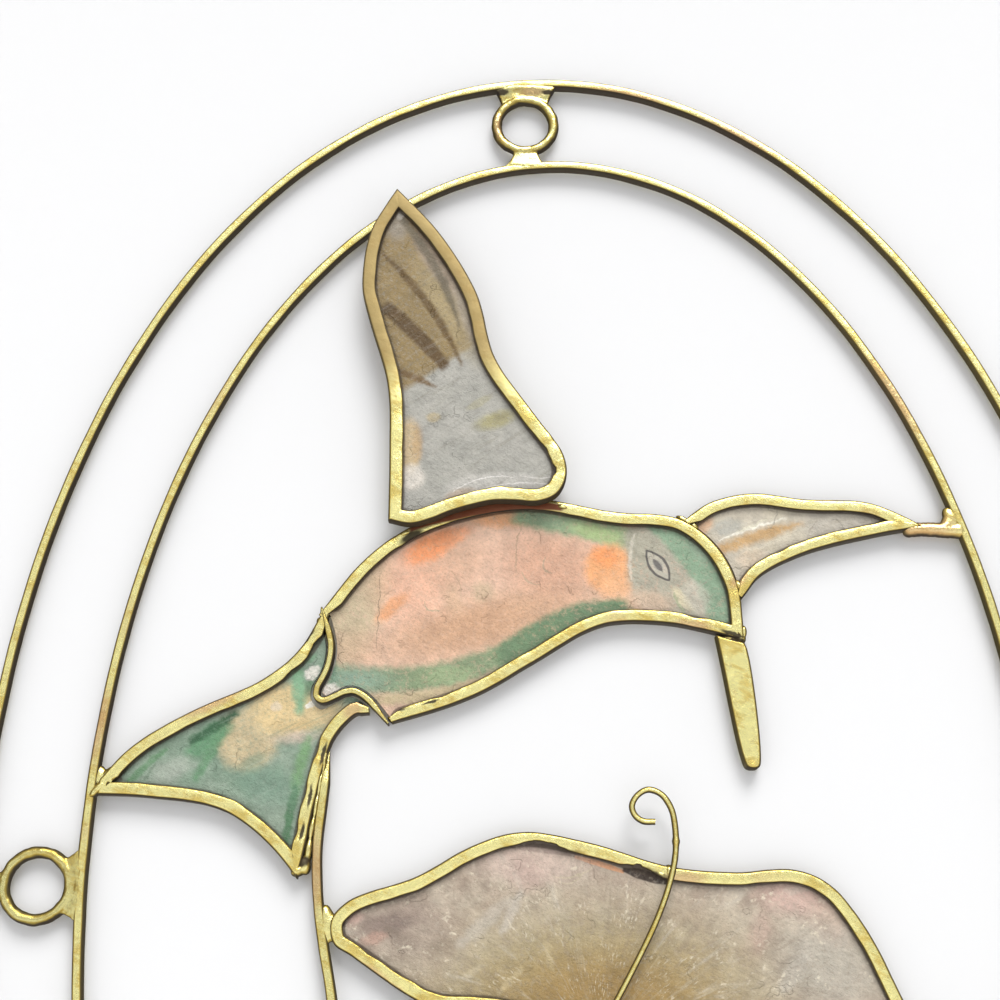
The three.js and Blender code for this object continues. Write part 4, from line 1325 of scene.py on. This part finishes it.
def folded_beak(material):
    """The beak: a strip folded into a trough with rounded rims."""
    points = front_loops("beak")[0]
    hull = [points[i] for i in convex_hull_2d(points)]
    top = sorted(range(len(hull)), key=lambda i: -hull[i].y)[:2]
    first = top[0] if (top[0] + 1) % len(hull) == top[1] else top[1]
    around = [hull[(first + 1 + k) % len(hull)] for k in range(len(hull))]
    tip = min(range(len(around)), key=lambda i: around[i].y)
    tip_half, tip_rise = 0.95, 0.55
    blunt = [around[tip] + Vector((aside, tip_rise)) for aside in (tip_half, -tip_half)]
    if around[0].x < around[-1].x:
        blunt.reverse()
    edge = curved([*around[:tip], *blunt, *around[tip + 1:]], 0.3)
    low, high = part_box("beak")
    rim, drop, slope, cell = 0.35, 0.16, 1.5, 0.25

    def trough(place):
        inwards = nearest_distance(edge, place)
        fold = 0.07 * stray(place, 0.0, 2.6, 5.0)
        if inwards < rim:
            return -rim * (1 - math.sin(math.pi / 2 * inwards / rim)) + fold
        depth = min(1.0, (inwards - rim) / slope)
        return -drop * depth * depth * (3 - 2 * depth) + fold

    return plate("beak_trough", edge, low.y / MM, high.y / MM, cell, trough, "brass_came", material, "beak")


def dense_outline(loop, step):
    """A closed outline with its smooth runs filled in and its corners kept."""
    corners = sharp_corners(loop)
    if not corners:
        return curved(loop, step, closed=True)[:-1]
    ends = corners[1:] + [corners[0] + len(loop)]
    points = []
    for a, b in zip(corners, ends):
        points += curved([loop[i % len(loop)] for i in range(a, b + 1)], step)[:-1]
    return points


# The stamen's route, in percent of the inner oval's half width and half height
STAMEN_ROUTE = [
    (5.9, -18.4), (12.2, -12.1), (18.7, -4.9), (21.8, -0.2), (23.1, 3.2), (23.2, 6.5), (22.5, 8.7),
    (20.6, 10.4), (17.9, 11), (15.6, 10.3), (14.4, 9), (15, 7.8), (16.6, 7.1), (19.1, 7),
]


def stem_wire(wires, skin):
    """The stem, worn to a point at its top."""
    top, point_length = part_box("stem")[1].z / MM, 7.0

    def worn(place, travelled, inward, forward):
        slim = min(1.0, 0.2 + (top - place.y) / point_length)
        swollen = slim * (1 + 0.08 * stray(place, 1.0, 5.0, 2.0))
        return inward * swollen, forward * slim + 0.05 * stray(place, inward, 2.0, 3.0)

    section = bar_section(wires.stem_width / MM, wires.stem_depth / MM, 0.45)
    wire("stem_wire", [curved(strip_line("stem")[::2], 0.5)], section, middle_depth("stem"), False, skin,
         "brass_wire", "stem", shape=worn)


def divider_strip(wires, skin):
    """The strip between body and tail, pointed at both ends."""
    line = curved(strip_line("tail_divider"), 0.3)
    total, point_length = path_length(line), 4.0
    low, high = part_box("tail_divider")

    def pointed(place, travelled, inward, forward):
        near = min(1.0, min(travelled, total - travelled) / point_length)
        return inward * (0.3 + 0.7 * near), forward + 0.05 * stray(place, inward, 1.6, 8.0)

    section = bar_section(wires.divider_width / MM, (high.y - low.y) / MM, 0.3)
    wire("divider_strip", [line], section, middle_depth("tail_divider"), False, skin, "brass_wire",
         "tail_divider", shape=pointed)


def stamen_wire(wires, skin):
    """The thin stamen, a little uneven and thicker where it crosses the petal's came."""
    low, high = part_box("inner_oval")
    centre = Vector(((low.x + high.x) / 2, (low.z + high.z) / 2)) / MM
    half = Vector(INNER_OVAL_HALF)
    route = [centre + Vector((a * half.x, b * half.y)) / 100 for a, b in STAMEN_ROUTE]

    def drawn(place, travelled, inward, forward):
        kink = 1 + 0.35 * swell(place, (23.6, -141.8), 0.8) + 0.06 * stray(place, 0.0, 1.2, 4.0)
        return inward * kink, forward * kink

    section = arc((0, 0), wires.stamen / 2 / MM, 90, 450 - 36, 9)
    wire("stamen_wire", [curved(route, 0.25)], section, middle_depth("stamen"), False, skin, "brass_wire",
         "stamen", shape=drawn)


def tie_wire(wires, copper):
    """The far wing's tie, a short uneven run of metal with a fillet up along the oval."""
    low, high = (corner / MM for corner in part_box("far_wing_tie"))
    middle, drops = (low.z + high.z) / 2, 11
    mesh = bmesh.new()
    for k in range(drops):
        share = k / (drops - 1)
        x = low.x - 1.2 + (high.x - low.x + 1.6) * share
        lump(mesh, (x, -0.1, middle - 0.15 + 0.12 * math.sin(5 * share)),
             (1.3, 1.2, 1.35 + 0.25 * share ** 3))
    for back, rise, wide, tall in ((1.6, 0.5, 2.0, 1.2), (0.9, 1.1, 1.8, 1.6), (0.7, 2.0, 1.3, 2.2)):
        lump(mesh, (high.x - back, -0.2, middle + rise), (wide, 1.05, tall), math.radians(-24))
    fused("tie_wire", mesh, wires.solder_grain, 9.0, "copper_wire", copper, "far_wing_tie", lumps=0.08)


class SUNCATCHER_OT_wires(bpy.types.Operator):
    """The stem, the divider between body and tail, the stamen and the tie"""
    bl_idname = "suncatcher.wires"
    bl_label = "Wires"

    def execute(self, context):
        wires, finish = context.scene.suncatcher_wires, context.scene.suncatcher_finish
        skin = brass("wire_brass", finish, tarnish=0.8, heat=[((-37.4, -146.0), (1.6, 6.0), 0)], tone=0.9,
                     flat=(0.95, 0.72))
        stem_wire(wires, skin)
        divider_strip(wires, skin)
        stamen_wire(wires, skin)
        tie_wire(wires, brass("tie_copper", finish, heat=[((70.0, -87.2), (6.0, 3.0), 0)], tarnish=0.8,
                              flat=(0.90, 0.40)))
        return {"FINISHED"}


class SUNCATCHER_OT_shells(bpy.types.Operator):
    """The shells of the wings, body, tail and petals"""
    bl_idname = "suncatcher.shells"
    bl_label = "Shells"

    def execute(self, context):
        settings = context.scene.suncatcher_shell
        slots = {"upper_wing_shell": "wing_shell", "far_wing_shell": "wing_shell", "body_shell": "body_shell",
                 "tail_shell": "tail_shell"}
        centre = Vector(FLOWER_CENTRE)
        for seed, node in enumerate(("upper_wing_shell", "body_shell", "tail_shell", "far_wing_shell",
                                     "top_petal_shell", "left_petal_shell", "right_petal_shell")):
            low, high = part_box(node)
            slot = slots.get(node, "petal_shell")
            radial = slot == "petal_shell"

            def ripple(place, seed=seed, radial=radial):
                slow = stray(place, 0.0, 12.0, seed * 2.3)
                if radial:
                    away = place - centre
                    ridge = noise.noise(Vector((8 * math.atan2(away.x, away.y), away.length / 30, seed)))
                else:
                    ridge = stray(Vector((place.x * 0.4 + place.y, place.y - place.x)), 2.0, 3.0, seed)
                return settings.ripple / MM * slow + 2 * settings.ridge / MM * ridge

            material = shell_material(node, settings)
            runs, _ = came_runs(node.replace("_shell", "_frame"), node, 1.5)
            plate(node.replace("_shell", "_capiz"), dense_outline(front_loops(node)[0], 1.0),
                  low.y / MM, high.y / MM, settings.cell / MM, ripple, slot, material, node,
                  held_by=[point for run in runs for point in run],
                  covered=came_face(node.replace("_shell", "_frame"), context.scene.suncatcher_came))
        return {"FINISHED"}


# Drops of solder at the joints: place across and up, half width, half height, turn in degrees, forward edge
SOLDER = {
    "tail_tip_solder": [
        ((-74.6, -131.7), 2.5, 0.9, 42, 1.55), ((-72.4, -129.9), 2.2, 0.8, 40, 1.5),
        ((-75.4, -132.6), 1.2, 0.7, 42, 1.6),
        ((-73.4, -129.5), 1.9, 0.9, 48, 1.2), ((-75.0, -129.8), 1.3, 2.0, -10, 1.0),
        ((-74.3, -130.2), 1.6, 1.4, 30, 1.1),
    ],
    "tail_foot_solder": [
        ((-40.3, -145.9), 1.3, 1.0, 20, 1.5), ((-39.2, -145.0), 1.1, 1.6, 10, 1.42),
        ((-38.6, -142.6), 0.75, 2.4, -8, 1.4),
        ((-38.1, -139.0), 0.6, 2.4, -8, 1.38), ((-37.5, -135.2), 0.55, 2.4, -8, 1.32),
        ((-36.9, -131.4), 0.5, 2.6, -8, 1.36),
        ((-36.2, -127.6), 0.5, 2.6, -8, 1.3), ((-35.8, -124.6), 0.45, 1.8, -8, 1.2),
    ],
    "petal_solder": [
        ((-35.3, -154.9), 1.6, 3.0, 0, 1.25), ((-34.2, -155.2), 1.7, 2.3, 0, 1.25),
        ((-35.5, -153.4), 1.2, 2.0, 4, 1.15),
    ],
    "petal_wing_solder": [((22.3, -146.6), 0.9, 1.2, 20, 1.7), ((20.8, -147.0), 1.3, 0.6, -20, 1.55)],
    "beak_solder": [
        ((34.4, -106.9), 1.7, 0.55, -8, 1.32), ((36.4, -107.0), 1.0, 0.8, 10, 1.42),
        ((37.0, -105.6), 0.6, 1.2, 0, 1.42),
    ],
    "far_wing_solder": [
        ((27.4, -85.0), 1.6, 0.6, -30, 1.3), ((29.2, -86.2), 1.0, 0.6, -40, 1.25),
        ((36.6, -97.4), 0.8, 1.5, 30, 1.35),
    ],
    "upper_wing_solder": [
        ((-22.6, -87.2), 1.3, 0.6, 25, 1.7), ((5.6, -82.6), 1.3, 0.6, -20, 1.8),
    ],
    "divider_solder": [
        ((-37.3, -101.7), 0.32, 1.5, 3, 1.5), ((-37.6, -103.4), 0.6, 1.2, 10, 1.45),
        ((-38.6, -105.2), 0.45, 1.5, -32, 1.4),
        ((-24.9, -120.6), 0.35, 0.9, 40, 1.5), ((-23.6, -119.5), 1.0, 0.4, 25, 1.4),
    ],
}


class SUNCATCHER_OT_solder(bpy.types.Operator):
    """The drops of solder at the joints"""
    bl_idname = "suncatcher.solder"
    bl_label = "Solder"

    def execute(self, context):
        wires, finish = context.scene.suncatcher_wires, context.scene.suncatcher_finish
        # Near black at the tail's tip and foot, the petal's end, the beak and under the raised wing: soot and
        # painted shade
        soot_and_shade = [((-74.2, -127.8), (0.7, 0.5), -40), ((-35.0, -158.2), (0.8, 0.5), 0),
                ((-39.4, -144.4), (1.4, 0.8), 20),
                ((35.0, -106.7), (2.4, 0.45), -18), ((-76.0, -134.4), (0.7, 0.8), 0),
                ((-8.0, -83.4), (14.0, 1.4), 0)]
        skin = brass("solder_brass", finish, soot_and_shade=soot_and_shade, tarnish=0.9, tone=0.92, flat=(0.85, 0.35))
        for seed, (name, drops) in enumerate(SOLDER.items()):
            mesh = bmesh.new()
            for (x, z), wide, high, turn, forward in drops:
                lump(mesh, (x, -forward / 2 + 0.45, z), (wide, forward / 2 + 0.45, high), -math.radians(turn))
            fused(name, mesh, wires.solder_grain, seed * 2.7, "brass_wire", skin, lumps=0.07)
        return {"FINISHED"}


class SUNCATCHER_OT_stage(bpy.types.Operator):
    """The pale wall and floor, the lights and the camera"""
    bl_idname = "suncatcher.stage"
    bl_label = "Stage"

    def execute(self, context):
        stage = context.scene.suncatcher_stage
        pale = Finish("pale_wall")
        pale.surface(Base_Color=(0.79, 0.79, 0.795, 1), Roughness=0.9, Specular_IOR_Level=0.0)
        backdrop(pale)
        floor = Finish("pale_floor")
        speck = floor.grain(30.0)
        floor.surface(Base_Color=floor.mix((0.88, 0.88, 0.88, 1), (0.93, 0.93, 0.93, 1), speck),
                      Roughness=0.8)
        mesh = bmesh.new()
        flat = Matrix.Translation((0, 0, CAD_BOX[0].z - FLOOR_BELOW))
        bmesh.ops.create_grid(mesh, x_segments=1, y_segments=1, size=STAGE_SIZE, matrix=flat)
        stage_piece("floor", mesh, floor.material)
        key_light(stage)
        room(context, stage)
        camera(context)
        return {"FINISHED"}


def stage_piece(name, mesh, material):
    data = bpy.data.meshes.new(name)
    mesh.to_mesh(data)
    mesh.free()
    data.materials.append(material)
    piece = bpy.data.objects.new(name, data)
    bpy.context.scene.collection.objects.link(piece)
    return piece


def backdrop(pale):
    """A wall close behind the object, which takes its shadows and shows only from the front."""
    facing = pale.node("ShaderNodeNewGeometry").outputs["Backfacing"]
    clear = pale.node("ShaderNodeBsdfTransparent")
    one_sided = pale.node("ShaderNodeMixShader", None,
                          {0: facing, 1: pale.shader.outputs[0], 2: clear.outputs[0]})
    out = next(node for node in pale.tree.nodes if node.type == "OUTPUT_MATERIAL")
    pale.tree.links.new(one_sided.outputs[0], out.inputs["Surface"])
    mesh = bmesh.new()
    upright = (Matrix.Translation((0, CAD_BOX[1].y + WALL_BEHIND, -0.1))
               @ Matrix.Rotation(math.radians(90), 4, "X"))
    bmesh.ops.create_grid(mesh, x_segments=1, y_segments=1, size=STAGE_SIZE, matrix=upright)
    wall = stage_piece("backdrop", mesh, pale.material)
    wall.visible_diffuse = False
    wall.visible_glossy = False
    wall.visible_shadow = False
    wall.visible_transmission = False


def key_light(stage):
    """A large soft light from the upper right, in front."""
    toward = Vector((0.16, -0.60, 0.78))
    lamp = bpy.data.lights.new("key", "SUN")
    lamp.energy = stage.sun
    lamp.angle = stage.spread
    key = bpy.data.objects.new("key", lamp)
    key.rotation_euler = toward.to_track_quat("Z", "Y").to_euler()
    key.location = toward
    bpy.context.scene.collection.objects.link(key)


def room(context, stage):
    """The room as a glow that is bright in front and above, and dim behind and below. The camera
    itself sees a plain pale room."""
    world = bpy.data.worlds.new("room")
    context.scene.world = world
    world.use_nodes = True
    background = world.node_tree.nodes["Background"]
    sky = Graph(world.node_tree)
    ray = sky.node("ShaderNodeTexCoord").outputs["Generated"]
    toward = Vector((0, -0.86, 0.5)).normalized()
    facing = sky.node("ShaderNodeVectorMath", {"operation": "DOT_PRODUCT"}, {0: ray, 1: toward})
    share = sky.step(sky.term(facing.outputs["Value"]), -0.25, 1.0)
    clouds = sky.node("ShaderNodeTexNoise", None, {"Vector": ray, "Scale": 4.6, "Detail": 2.0})
    panels = sky.term(clouds.outputs[0])
    glow = share * sky.step(panels, 0.42, 0.60) * (stage.front - stage.back) + stage.back + 0.22 * share
    seen = sky.term(sky.node("ShaderNodeLightPath").outputs["Is Camera Ray"])
    glow = glow * (1 - seen) + 0.95 * seen
    sky.feed(background.inputs["Color"], glow)
    sky.feed(background.inputs["Strength"], 1.0)


def camera(context):
    """The photograph's camera: below the bird, looking up, and rolled by half a degree."""
    tilt, roll = CAMERA_TILT, CAMERA_ROLL
    forward = Vector((0, math.cos(tilt), math.sin(tilt)))
    level = Vector((1, 0, 0))
    rise = Vector((0, -math.sin(tilt), math.cos(tilt)))
    right = math.cos(roll) * level + math.sin(roll) * rise
    up = -math.sin(roll) * level + math.cos(roll) * rise
    data = bpy.data.cameras.new("camera")
    data.sensor_width = SENSOR
    data.lens = SENSOR * FOCAL_SHARE
    view = bpy.data.objects.new("camera", data)
    axes = Matrix((right, up, -forward)).transposed().to_4x4()
    view.matrix_world = Matrix.Translation(Vector(CAMERA_PLACE) * MM) @ axes
    context.scene.collection.objects.link(view)
    context.scene.camera = view
    context.scene.view_settings.view_transform = "Standard"


STEPS = (SUNCATCHER_OT_ovals, SUNCATCHER_OT_rings, SUNCATCHER_OT_cames, SUNCATCHER_OT_wires,
         SUNCATCHER_OT_shells, SUNCATCHER_OT_solder, SUNCATCHER_OT_stage)
SETTINGS = {"suncatcher_came": CameSettings, "suncatcher_wires": WireSettings,
            "suncatcher_shell": ShellSettings,
            "suncatcher_finish": FinishSettings, "suncatcher_stage": StageSettings}


class SUNCATCHER_PT_panel(bpy.types.Panel):
    """Sizes, finishes and steps of the suncatcher"""
    bl_label = "Suncatcher"
    bl_idname = "SUNCATCHER_PT_panel"
    bl_space_type = "VIEW_3D"
    bl_region_type = "UI"
    bl_category = "Suncatcher"

    def draw(self, context):
        for step in STEPS:
            self.layout.operator(step.bl_idname)
        for name, group in SETTINGS.items():
            box = self.layout.box()
            for field in group.__annotations__:
                box.prop(getattr(context.scene, name), field)


def register():
    for group in SETTINGS.values():
        bpy.utils.register_class(group)
    for name, group in SETTINGS.items():
        setattr(bpy.types.Scene, name, PointerProperty(type=group))
    for item in (*STEPS, SUNCATCHER_PT_panel):
        bpy.utils.register_class(item)


def unregister():
    for item in reversed((*STEPS, SUNCATCHER_PT_panel)):
        bpy.utils.unregister_class(item)
    for name in SETTINGS:
        delattr(bpy.types.Scene, name)
    for group in reversed(SETTINGS.values()):
        bpy.utils.unregister_class(group)


def main():
    register()
    bpy.ops.suncatcher.ovals()
    bpy.ops.suncatcher.rings()
    bpy.ops.suncatcher.cames()
    bpy.ops.suncatcher.wires()
    bpy.ops.suncatcher.shells()
    bpy.ops.suncatcher.solder()
    bpy.ops.suncatcher.stage()


if __name__ == "__main__":
    main()
